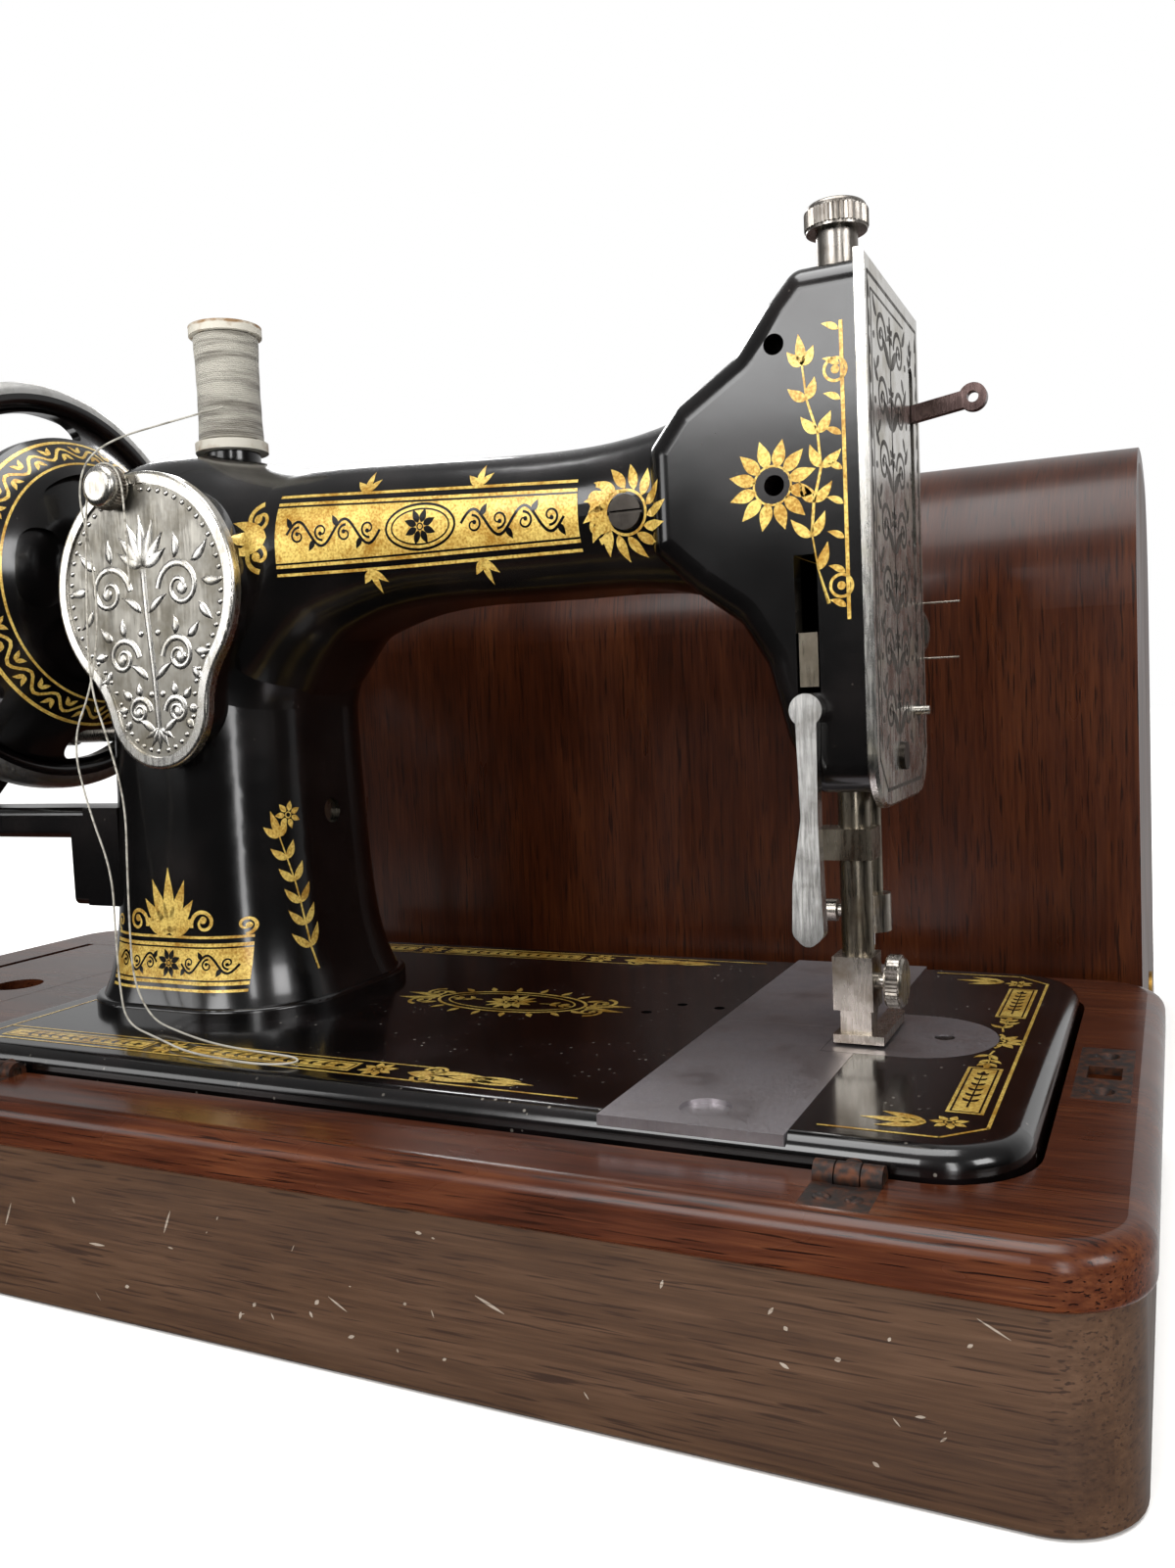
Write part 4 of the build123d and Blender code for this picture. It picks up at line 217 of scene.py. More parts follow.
@dataclass(frozen=True)
class JapannedEnamel(Finish):
    """Stoved black japan on cast iron: deep gloss, a faint orange peel and specks of dust."""

    colour: str = "#060505"
    worn: str = "#120D0C"
    dust: str = "#7A736A"
    peel: float = 6.0
    cloud: float = 28.0
    speck: float = 3.4
    speck_share: float = 0.05
    speck_edge: float = 0.04
    dustiness: float = 0.25
    gloss: float = 0.15

    def inputs(self, tree: Tree) -> dict:
        """Add the peel, the wear and the dust.

        Args:
            tree: The material's node tree.

        Returns:
            The shader's inputs.
        """
        place = add(tree, "TexCoord").outputs["Object"]
        peel = add(tree, "TexNoise", {"Vector": place, "Scale": per_metre(self.peel), "Detail": 2.0})
        cloud = add(tree, "TexNoise", {"Vector": place, "Scale": per_metre(self.cloud), "Detail": 5.0})
        specks = add(tree, "TexVoronoi", {"Vector": place, "Scale": per_metre(self.speck)})
        rim = self.speck_share + self.speck_edge
        stops = [(self.speck_share, grey(self.dustiness)), (rim, grey(0.0))]
        dots = add(tree, "ValToRGB", {"Fac": specks}, stops)
        patch = add(tree, "ValToRGB", {"Fac": cloud}, [(0.48, grey(0.0)), (0.70, grey(1.0))])
        dusty = add(tree, "Math", {0: dots, 1: patch}, operation="MULTIPLY")
        tints = {"Factor": patch, "A": linear(self.colour), "B": linear(self.worn)}
        tint = add(tree, "Mix", tints, data_type="RGBA")
        final = add(tree, "Mix", {"Factor": dusty, "A": tint, "B": linear(self.dust)}, data_type="RGBA")
        rough = {"Value": cloud, "To Min": self.gloss * 0.6, "To Max": self.gloss * 2.0}
        return {
            "Base Color": final,
            "Roughness": add(tree, "MapRange", rough),
            "Normal": add(tree, "Bump", {"Height": peel, "Strength": 0.08, "Distance": 0.25 * MM}),
            "IOR": 1.54,
            "Coat Weight": 0.3,
            "Coat Roughness": 0.1,
        }


@dataclass(frozen=True)
class GoldTransfer(Finish):
    """Bronze-powder gold transfer under varnish: warm, rubbed thin in places.

    The powder's grit is drawn coarser than it is, so that it shows.
    """

    bright: str = "#EBCD6E"
    deep: str = "#A8781E"
    rub: float = 7.0
    powder: float = 0.7

    def inputs(self, tree: Tree) -> dict:
        """Add the rubbed patches and the powder's grit.

        Args:
            tree: The material's node tree.

        Returns:
            The shader's inputs.
        """
        place = add(tree, "TexCoord").outputs["Object"]
        cloud = add(tree, "TexNoise", {"Vector": place, "Scale": per_metre(self.rub), "Detail": 6.0})
        fine = add(tree, "TexNoise", {"Vector": place, "Scale": per_metre(self.powder), "Detail": 2.0})
        both = add(tree, "Math", {0: cloud, 1: fine}, operation="MULTIPLY")
        stops = [(0.14, linear(self.deep)), (0.34, linear(self.bright))]
        return {
            "Base Color": add(tree, "ValToRGB", {"Fac": both}, stops),
            "Metallic": 0.35,
            "Roughness": 0.36,
            "Coat Weight": 0.4,
            "Coat Roughness": 0.15,
        }


@dataclass(frozen=True)
class VarnishedWood(Finish):
    """Stained and varnished hardwood: fibres, open pores and a slow figure under the varnish.

    Fibres and pores are drawn coarser than they are, so that they show.
    """

    dark: str
    middle: str
    light: str
    grain: Grain = Grain.ALONG_X
    fibre: float = 1.1
    pore: float = 0.605
    figure: float = 26.0
    figure_stretch: float = 0.22
    roughness: float = 0.3
    coat: float = 0.5
    sheen: float = 0.5
    turns: bool = False
    scratches: float = 0.0
    scratch: str = "#A08B76"
    scratch_size: float = 4.5

    def inputs(self, tree: Tree) -> dict:
        """Add the fibres, the figure, the pores and any scratches.

        Args:
            tree: The material's node tree.

        Returns:
            The shader's inputs.
        """
        place = add(tree, "TexCoord").outputs["Object"]
        if self.turns:
            place = self.turned(tree, place)
        run = add(tree, "Mapping", {"Vector": place, "Scale": self.grain.value})
        wide = tuple(max(stretch, self.figure_stretch) for stretch in self.grain.value)
        slow = add(tree, "Mapping", {"Vector": place, "Scale": wide})
        fibres = {"Vector": run, "Scale": per_metre(self.fibre), "Detail": 4.0, "Roughness": 0.65}
        fibre = add(tree, "TexNoise", fibres)
        figures = {"Vector": slow, "Scale": per_metre(self.figure), "Detail": 3.0, "Distortion": 1.4}
        figure = add(tree, "TexNoise", figures)
        pores = add(tree, "TexNoise", {"Vector": run, "Scale": per_metre(self.pore), "Detail": 1.0})
        halves = {"Factor": 0.5, "A": fibre.outputs["Color"], "B": figure.outputs["Color"]}
        blend = add(tree, "Mix", halves, data_type="RGBA")
        stops = [(0.36, linear(self.dark)), (0.50, linear(self.middle)), (0.66, linear(self.light))]
        tone = add(tree, "ValToRGB", {"Fac": blend}, stops)
        pits = add(tree, "ValToRGB", {"Fac": pores}, [(0.33, grey(1.0)), (0.40, grey(0.0))])
        stained = {"Factor": pits, "A": tone, "B": linear(self.dark)}
        colour = add(tree, "Mix", stained, data_type="RGBA")
        if self.scratches > 0:
            colour = self.scratched(tree, place, colour)
        rough = {"Value": figure, "To Min": self.roughness * 0.75, "To Max": self.roughness * 1.5}
        return {
            "Base Color": colour,
            "Roughness": add(tree, "MapRange", rough),
            "Normal": add(tree, "Bump", {"Height": fibre, "Strength": 0.12, "Distance": 0.15 * MM}),
            "Specular IOR Level": self.sheen,
            "Coat Weight": self.coat,
            "Coat Roughness": 0.12,
        }

    def turned(self, tree: Tree, place: Socket) -> Node:
        """Turn the grain along y on boards that face along x.

        Args:
            tree: The material's node tree.
            place: The texture coordinates.

        Returns:
            The coordinates, with x and y changed over on those boards.
        """
        parts = add(tree, "SeparateXYZ", {"Vector": place}).outputs
        swapped = add(tree, "CombineXYZ", {"X": parts["Y"], "Y": parts["X"], "Z": parts["Z"]})
        normal = add(tree, "TexCoord").outputs["Normal"]
        facing = add(tree, "SeparateXYZ", {"Vector": normal}).outputs["X"]
        size = add(tree, "Math", {0: facing}, operation="ABSOLUTE")
        chosen = add(tree, "Math", {0: size, 1: math.sqrt(0.5)}, operation="GREATER_THAN")
        return add(tree, "Mix", {"Factor": chosen, "A": place, "B": swapped}, data_type="VECTOR")

    def scratched(self, tree: Tree, place: Socket | Node, colour: Node) -> Node:
        """Lay pale scuffs and scratches over a colour.

        Args:
            tree: The material's node tree.
            place: The texture coordinates.
            colour: The wood's colour.

        Returns:
            The colour with its scratches.
        """
        size = per_metre(self.scratch_size)
        for turn, stretch in ((0.35, 0.06), (-0.5, 0.10)):
            leaning = {"Vector": place, "Rotation": (0.0, turn, 0.0), "Scale": (stretch, 1.0, 1.0)}
            lean = add(tree, "Mapping", leaning)
            streak = add(tree, "TexNoise", {"Vector": lean, "Scale": size, "Detail": 6.0, "Roughness": 0.7})
            stops = [(0.695, grey(0.0)), (0.745, grey(self.scratches))]
            mark = add(tree, "ValToRGB", {"Fac": streak}, stops)
            laid = {"Factor": mark, "A": colour, "B": linear(self.scratch)}
            colour = add(tree, "Mix", laid, data_type="RGBA")
        return colour


@dataclass(frozen=True)
class PolishedMetal(Finish):
    """Ground and polished metal or nickel plate: bright, with fine rub marks and warm tarnish.

    The rub marks are drawn coarser than they are, so that they show.
    """

    bright: str
    tarnish: str
    tarnish_share: float = 0.45
    roughness: float = 0.24
    rub: float = 0.6
    patch: float = 11.0

    def inputs(self, tree: Tree) -> dict:
        """Add the tarnished patches and the rub marks.

        Args:
            tree: The material's node tree.

        Returns:
            The shader's inputs.
        """
        place = add(tree, "TexCoord").outputs["Object"]
        patches = {"Vector": place, "Scale": per_metre(self.patch), "Detail": 7.0, "Roughness": 0.62}
        cloud = add(tree, "TexNoise", patches)
        lean = add(tree, "Mapping", {"Vector": place, "Scale": (1.0, 1.0, 0.08)})
        rubbed = add(tree, "TexNoise", {"Vector": lean, "Scale": per_metre(self.rub), "Detail": 2.0})
        edge = 0.72 - 0.3 * self.tarnish_share
        stops = [(edge - 0.14, linear(self.bright)), (edge + 0.16, linear(self.tarnish))]
        rough = {
            "Value": add(tree, "Math", {0: cloud, 1: rubbed}, operation="MULTIPLY"),
            "From Min": 0.1,
            "From Max": 0.45,
            "To Min": self.roughness * 0.7,
            "To Max": self.roughness * 1.7,
        }
        return {
            "Base Color": add(tree, "ValToRGB", {"Fac": cloud}, stops),
            "Roughness": add(tree, "MapRange", rough),
            "Metallic": 1.0,
        }


@dataclass(frozen=True)
class RustyIron(Finish):
    """Plain iron fittings gone brown: rough, with rust in the hollows."""

    iron: str = "#2A2321"
    rust: str = "#5A3420"
    pit: float = 2.2

    def inputs(self, tree: Tree) -> dict:
        """Add the rust and its pits.

        Args:
            tree: The material's node tree.

        Returns:
            The shader's inputs.
        """
        place = add(tree, "TexCoord").outputs["Object"]
        pits = add(tree, "TexNoise", {"Vector": place, "Scale": per_metre(self.pit), "Detail": 6.0})
        stops = [(0.42, linear(self.iron)), (0.66, linear(self.rust))]
        return {
            "Base Color": add(tree, "ValToRGB", {"Fac": pits}, stops),
            "Normal": add(tree, "Bump", {"Height": pits, "Strength": 0.35, "Distance": 0.3 * MM}),
            "Metallic": 0.6,
            "Roughness": 0.52,
        }


@dataclass(frozen=True)
class Cotton(Finish):
    """Twisted cotton thread: matt and slightly furry, off-white.

    Its turns on the spool are drawn coarser than they are, so that they show.
    """

    pale: str = "#B0ACA1"
    shade: str = "#706B61"
    ply: float = 1.6

    def inputs(self, tree: Tree) -> dict:
        """Add the level turns.

        Args:
            tree: The material's node tree.

        Returns:
            The shader's inputs.
        """
        place = add(tree, "TexCoord").outputs["Object"]
        level = add(tree, "Mapping", {"Vector": place, "Scale": (0.07, 0.07, 1.0)})
        twist = add(tree, "TexNoise", {"Vector": level, "Scale": per_metre(self.ply), "Detail": 3.0})
        stops = [(0.32, linear(self.shade)), (0.56, linear(self.pale))]
        return {
            "Base Color": add(tree, "ValToRGB", {"Fac": twist}, stops),
            "Normal": add(tree, "Bump", {"Height": twist, "Strength": 0.3, "Distance": 0.1 * MM}),
            "Roughness": 0.85,
            "Sheen Weight": 0.3,
        }


@dataclass(frozen=True)
class TurnedCream(Finish):
    """A turned spool painted cream, browned by handling and round its upper edge."""

    cream: str = "#C9C4B7"
    brown: str = "#8A6A45"
    stain: float = 6.0
    edge: float = 276.8
    edge_width: float = 0.5

    def inputs(self, tree: Tree) -> dict:
        """Add the stains and the rubbed edge.

        Args:
            tree: The material's node tree.

        Returns:
            The shader's inputs.
        """
        place = add(tree, "TexCoord").outputs["Object"]
        cloud = add(tree, "TexNoise", {"Vector": place, "Scale": per_metre(self.stain), "Detail": 5.0})
        level = add(tree, "SeparateXYZ", {"Vector": place}).outputs["Z"]
        low, high = (self.edge - self.edge_width) * MM, self.edge * MM
        rubbed = add(tree, "MapRange", {"Value": level, "From Min": low, "From Max": high, "To Max": 0.22})
        both = add(tree, "Math", {0: cloud, 1: rubbed}, operation="ADD")
        stops = [(0.54, linear(self.cream)), (0.76, linear(self.brown))]
        return {"Base Color": add(tree, "ValToRGB", {"Fac": both}, stops), "Roughness": 0.5}


@dataclass(frozen=True)
class PlainFloor(Finish):
    """A pale matt studio floor."""

    pale: str = "#F8F7F5"

    def inputs(self, tree: Tree) -> dict:
        """Give the floor's plain colour."""
        return {"Base Color": linear(self.pale), "Roughness": 0.7}


@dataclass
class Finishes:
    """Every finish of the machine and its case, each made once.

    A metal is given by its bright and tarnished colours, the share of tarnish and the roughness,
    and a wood by its dark, middle and light colours.
    """

    japan: Finish = JapannedEnamel("japanned_iron")
    bed_japan: Finish = JapannedEnamel(
        "dusty_japanned_bed", worn="#161011", dust="#A39C92", speck_share=0.1, dustiness=0.9, gloss=0.13
    )
    gold: Finish = GoldTransfer("gold_transfer")
    frame_wood: Finish = VarnishedWood(
        "varnished_mahogany", "#260E05", "#46200F", "#66381D",
        roughness=0.24, coat=0.12, sheen=0.3, scratches=0.12,
    )
    wall_wood: Finish = VarnishedWood(
        "scuffed_mahogany", "#38251A", "#4C3422", "#5F4430",
        roughness=0.45, coat=0.0, sheen=0.3, turns=True, scratches=0.3,
    )
    bare_wood: Finish = VarnishedWood(
        "scratched_bare_wood", "#75675A", "#8F8275", "#ABA094", roughness=0.7, coat=0.0
    )
    lid_wood: Finish = VarnishedWood(
        "bentwood_veneer", "#220B02", "#381605", "#50270E",
        grain=Grain.OVER_ARCH, figure=34.0, roughness=0.27, coat=0.06, sheen=0.3,
    )
    lid_end_wood: Finish = VarnishedWood(
        "lid_end_board", "#2A1409", "#44210F", "#5E351C",
        grain=Grain.UPRIGHT, roughness=0.36, coat=0.0, sheen=0.25,
    )
    plain_wood: Finish = VarnishedWood(
        "unvarnished_deal", "#38241A", "#553A2A", "#72533D", roughness=0.7, coat=0.0
    )
    grip_wood: Finish = VarnishedWood("ebonised_grip", "#0B0706", "#15100D", "#2A1C14", roughness=0.28)
    nickel: Finish = PolishedMetal("aged_nickel", "#E0DDD7", "#A89F88", 0.35)
    sunk_nickel: Finish = PolishedMetal("sunk_nickel_field", "#ACA89F", "#8A8373", 0.5, 0.4)
    rim_nickel: Finish = PolishedMetal("dulled_nickel_rim", "#D2D1CE", "#8A8782", 0.4, 0.42)
    dark_nickel: Finish = PolishedMetal("darkened_nickel", "#ABA59E", "#63584C", 0.5, 0.28)
    slide_plate: Finish = PolishedMetal("slide_plate_chrome", "#B4AFB2", "#878186", 0.5, 0.4, patch=22.0)
    steel: Finish = PolishedMetal("bright_steel", "#B5AEA4", "#6D5D49", roughness=0.26)
    bronzed: Finish = PolishedMetal("browned_steel", "#948B7C", "#5C5142", 0.5, 0.28)
    lever_steel: Finish = PolishedMetal("plum_steel", "#665552", "#3B2D2C", 0.6, 0.26)
    screw_steel: Finish = PolishedMetal("blued_screw_steel", "#4F4A45", "#2C2825", 0.5, 0.32)
    polished: Finish = PolishedMetal("mirror_steel", "#EDEBE7", "#C4BFB7", 0.3, 0.16)
    brass: Finish = PolishedMetal("aged_brass", "#B28A45", "#6A4C22", roughness=0.3)
    iron: Finish = RustyIron("rusty_iron")
    etched: Finish = PolishedMetal("etched_ground", "#69645D", "#3E3933", 0.5, 0.42)
    cotton: Finish = Cotton("cotton_thread")
    spool: Finish = TurnedCream("cream_spool")
    floor: Finish = PlainFloor("studio_floor")
    made: dict[str, bpy.types.Material] = field(default_factory=dict)

    def of(self, name: str) -> bpy.types.Material:
        """Give the material of a named finish.

        Args:
            name: The field's name, such as "japan".

        Returns:
            The material, built the first time it is asked for.
        """
        if name not in self.made:
            self.made[name] = getattr(self, name).material()
        return self.made[name]

    def paint(self, name: str, *nodes: str) -> None:
        """Put a finish on CAD nodes.

        Args:
            name: The finish's name.
            nodes: The nodes that take it.
        """
        for node in nodes:
            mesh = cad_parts[node].data
            mesh.materials.clear()
            mesh.materials.append(self.of(name))
            LOG.info("painted %s with %s", node, name)


def put(name: str, data: bpy.types.ID) -> Thing:
    """Put a new object in the scene.

    Args:
        name: The object's name.
        data: Its mesh, curve, lamp or camera.

    Returns:
        The new object.
    """
    made = bpy.data.objects.new(name, data)
    bpy.context.scene.collection.objects.link(made)
    return made


def make_piece(
    name: str,
    points: Sequence[Vector],
    faces: Faces,
    material: bpy.types.Material,
    body: Body,
    smooth: bool = True,
) -> Thing:
    """Make a mesh piece that rides on a body.

    Args:
        name: The piece's name.
        points: Its vertices in metres.
        faces: Its faces, by vertex number.
        material: Its material.
        body: The body that it moves with.
        smooth: Whether its faces are shaded smooth.

    Returns:
        The new object.
    """
    mesh = bpy.data.meshes.new(name)
    mesh.from_pydata([tuple(p) for p in points], [], faces)
    mesh.materials.append(material)
    for polygon in mesh.polygons:
        polygon.use_smooth = smooth
    made = put(name, mesh)
    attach(made, body.value)
    LOG.info("made %s with %d faces on %s", name, len(faces), body.value)
    return made


@dataclass
class Ground:
    """A surface that ornament is laid on, found by looking at it straight along one direction.

    The fields are the node that carries the ornament, a point that the looking starts from, the
    ornament's two directions, the direction of looking and the least share of the surface that
    has to face it.
    """

    node: str
    start: Place
    across: Place
    up: Place
    look: Place
    least_facing: float = 0.18
    tree: BVHTree = field(init=False)

    def __post_init__(self) -> None:
        """Gather the node's faces for the search."""
        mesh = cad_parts[self.node].data
        points = [v.co.copy() for v in mesh.vertices]
        self.tree = BVHTree.FromPolygons(points, [list(p.vertices) for p in mesh.polygons])

    def place(self, u: float, v: float, lift: float) -> Vector | None:
        """Find the surface at a place in the ornament.

        Args:
            u: Millimetres along the ornament's across direction.
            v: Millimetres along its up direction.
            lift: Height above the surface.

        Returns:
            The point in metres, or None where the surface is missed or falls away steeply.
        """
        look = Vector(self.look).normalized()
        start = (Vector(self.start) + Vector(self.across) * u + Vector(self.up) * v) * MM
        spot, normal, _, _ = self.tree.ray_cast(start, look)
        if spot is None:
            return None
        facing = -normal.dot(look)
        if abs(facing) < self.least_facing:
            return None
        return spot + normal * math.copysign(lift * MM, facing)


@dataclass
class Tracery:
    """Flat ornament made of strips, each with two side lines in millimetres and a count of columns."""

    strips: list[tuple[list[Point], list[Point], int]] = field(default_factory=list)

    def ribbon(
        self, line: Sequence[Point], width: float, taper: Callable[[float], float] = lambda t: 1.0
    ) -> None:
        """Add a ribbon along a line.

        Args:
            line: The ribbon's middle line.
            width: Its width.
            taper: The share of the width at each share of the length.
        """
        left: list[Point] = []
        right: list[Point] = []
        last = len(line) - 1
        for i, (u, v) in enumerate(line):
            before, after = line[max(i - 1, 0)], line[min(i + 1, last)]
            du, dv = after[0] - before[0], after[1] - before[1]
            size = math.hypot(du, dv) or 1.0
            half = width / 2 * taper(i / last)
            left.append((u - dv / size * half, v + du / size * half))
            right.append((u + dv / size * half, v - du / size * half))
        self.strips.append((left, right, 2))

    def leaf(self, root: Point, heading: float, length: float, width: float, bend: float = 0.0) -> None:
        """Add a pointed leaf.

        Args:
            root: Where it grows from.
            heading: Its direction in degrees from the across direction.
            length: Its length.
            width: Its greatest width.
            bend: How far it turns along its length, in degrees.
        """
        steps, tip = 9, 0.03
        line = [root]
        for i in range(steps):
            angle = math.radians(heading + bend * (i + 0.5) / steps)
            line.append(polar(line[-1], length / steps, angle))
        self.ribbon(line, width, lambda t: max(tip, math.sin(math.pi * t**0.75)))

    def fan(
        self, root: Point, heading: float, leaves: Iterable[Point], width: float, curl: float = 0.0
    ) -> None:
        """Add a fan of leaves.

        Args:
            root: Where they grow from.
            heading: The fan's direction in degrees.
            leaves: Each leaf's lean from that direction in degrees, and its length.
            width: Their greatest width.
            curl: The share of its lean that each turns back along its length.
        """
        for lean, length in leaves:
            self.leaf(root, heading + lean, length, width, -lean * curl)

    def scroll(
        self, centre: Point, start: float, outer: float, inner: float, turns: float, width: float
    ) -> None:
        """Add a spiral scroll with a round end.

        Args:
            centre: The spiral's middle.
            start: The angle of its outer end in degrees.
            outer: Its outer radius.
            inner: Its inner radius.
            turns: How many turns it makes, negative for clockwise.
            width: The ribbon's width at the outer end.
        """
        least_steps, steps_per_turn = 10, 22
        steps = max(least_steps, int(abs(turns) * steps_per_turn))
        line: list[Point] = []
        for i in range(steps + 1):
            share = i / steps
            radius = outer + (inner - outer) * share**0.8
            line.append(polar(centre, radius, math.radians(start + 360 * turns * share)))
        self.ribbon(line, width, lambda t: 1.0 - 0.45 * t)
        self.disc(line[-1], width * 0.85)

    def disc(self, centre: Point, radius: float, sides: int = 14) -> None:
        """Add a round dot.

        Args:
            centre: Its middle.
            radius: Its radius.
            sides: How many runs each half of its edge has.
        """
        angles = [math.pi * i / sides for i in range(sides + 1)]
        left, right = ([polar(centre, -radius, side * a) for a in angles] for side in (-1, 1))
        self.strips.append((left, right, 2))

    def ring(
        self, centre: Point, radius: float, width: float, squash: float = 1.0, sides: int = 72
    ) -> None:
        """Add a ring, or an oval one where squash is under one.

        Args:
            centre: Its middle.
            radius: The radius of its middle line.
            width: The line's width.
            squash: The share of its width that its height is.
            sides: How many runs the line has.
        """
        u, v = centre
        angles = [2 * math.pi * i / sides for i in range(sides + 1)]
        self.ribbon([(u + radius * math.cos(a), v + radius * squash * math.sin(a)) for a in angles], width)

    def panel(self, low: Sequence[Point], high: Sequence[Point], columns: int) -> None:
        """Add a filled panel between a lower and an upper line."""
        self.strips.append((list(high), list(low), columns))

    def path(self, corners: Sequence[Point], width: float, step: float = 3.0) -> None:
        """Add a ribbon along straight runs, divided so that it follows a curved ground.

        Args:
            corners: The ends of the runs.
            width: The ribbon's width.
            step: The longest division.
        """
        for start, end in zip(corners, corners[1:]):
            count = max(1, math.ceil(math.dist(start, end) / step))
            self.ribbon(between(start, end, count), width)
            for corner in (start, end):
                self.disc(corner, width / 2, sides=6)

    def box(self, low: Point, high: Point, width: float) -> None:
        """Add a path round the box between two corners."""
        (u0, v0), (u1, v1) = low, high
        self.path([(u0, v0), (u1, v0), (u1, v1), (u0, v1), (u0, v0)], width)

    def petals(
        self,
        centre: Point,
        radius: float,
        count: int,
        width: float,
        eye: float,
        lean: float = 0.0,
        bend: float = 0.0,
    ) -> None:
        """Add leaf-shaped petals round an open eye.

        Args:
            centre: The flower's middle.
            radius: How far the petals reach.
            count: How many there are.
            width: Their greatest width.
            eye: The radius that they start from.
            lean: How far each leans from straight out, in degrees.
            bend: How far each turns along its length, in degrees.
        """
        for i in range(count):
            angle = 360 * (i + 0.5) / count
            root = polar(centre, eye, math.radians(angle))
            self.leaf(root, angle + lean, radius - eye, width, bend)

    def rosette(self, centre: Point, radius: float, count: int, width: float, eye: float) -> None:
        """Add a flower of petals, as petals does, round a ring."""
        self.petals(centre, radius, count, width, eye)
        self.ring(centre, eye * 0.72, eye * 0.3, sides=28)

    def spray(self, line: Sequence[Point], leaf: float, width: float, stem: float) -> None:
        """Add a stem with a pair of leaves at each of its points and one at its tip.

        Args:
            line: The stem's points.
            leaf: The leaves' greatest length.
            width: Their greatest width.
            stem: The stem's width at its foot.
        """
        self.ribbon(line, stem, lambda t: 1.0 - 0.5 * t)
        for i in range(1, len(line)):
            (u0, v0), (u1, v1) = line[i - 1], line[i]
            heading = math.degrees(math.atan2(v1 - v0, u1 - u0))
            size = leaf * (1.0 - 0.35 * i / len(line))
            for side in (-1, 1):
                self.leaf((u1, v1), heading + side * 52, size, width, -side * 26)
        self.leaf(line[-1], heading, leaf, width)

    def wave(self, start: Point, end: Point, rise: float, count: int, width: float) -> None:
        """Add a running scroll between two points, with a curl and a leaf in each half wave.

        Args:
            start: Where it starts.
            end: Where it ends.
            rise: The waves' height from the middle line.
            count: How many half waves it has.
            width: The ribbon's width.
        """
        du, dv = end[0] - start[0], end[1] - start[1]
        length = math.hypot(du, dv)
        heading = math.degrees(math.atan2(dv, du))

        def at(s: float, h: float) -> Point:
            """Give the place s along and h to the side of the middle line."""
            return (start[0] + (du * s - dv * h) / length, start[1] + (dv * s + du * h) / length)

        steps = count * 12
        shares = [i / steps for i in range(steps + 1)]
        self.ribbon([at(length * t, rise * math.sin(math.pi * count * t)) for t in shares], width)
        for i in range(count):
            middle = (i + 0.5) * length / count
            sign = 1 if i % 2 == 0 else -1
            curl = at(middle, -sign * rise * 0.15)
            self.scroll(curl, heading + sign * 100, rise * 0.72, rise * 0.2, -sign * 1.1, width * 0.9)
            root = at(middle + length / count * 0.3, sign * rise * 0.5)
            self.leaf(root, heading + sign * 60, rise, width * 2.2)

    def lay(
        self,
        name: str,
        ground: Ground,
        material: bpy.types.Material,
        body: Body,
        lift: float = 0.08,
        crown: float = 0.0,
    ) -> None:
        """Lay the ornament on its ground as one piece.

        Args:
            name: The piece's name.
            ground: The surface that carries it.
            material: Its material.
            body: The body that it rides on.
            lift: Its height above the surface.
            crown: How much higher each strip's middle stands.
        """
        points: list[Vector] = []
        faces: Faces = []
        for left, right, columns in self.strips:
            rows: list[list[int | None]] = []
            for (u0, v0), (u1, v1) in zip(left, right):
                row: list[int | None] = []
                for j in range(columns + 1):
                    t = j / columns
                    height = lift + crown * 4 * t * (1 - t)
                    spot = ground.place(u0 + (u1 - u0) * t, v0 + (v1 - v0) * t, height)
                    row.append(None if spot is None else len(points))
                    if spot is not None:
                        points.append(spot)
                rows.append(row)
            for upper, lower in zip(rows, rows[1:]):
                for j in range(columns):
                    face = [upper[j], upper[j + 1], lower[j + 1], lower[j]]
                    if None not in face:
                        faces.append(face)
        make_piece(name, points, faces, material, body)


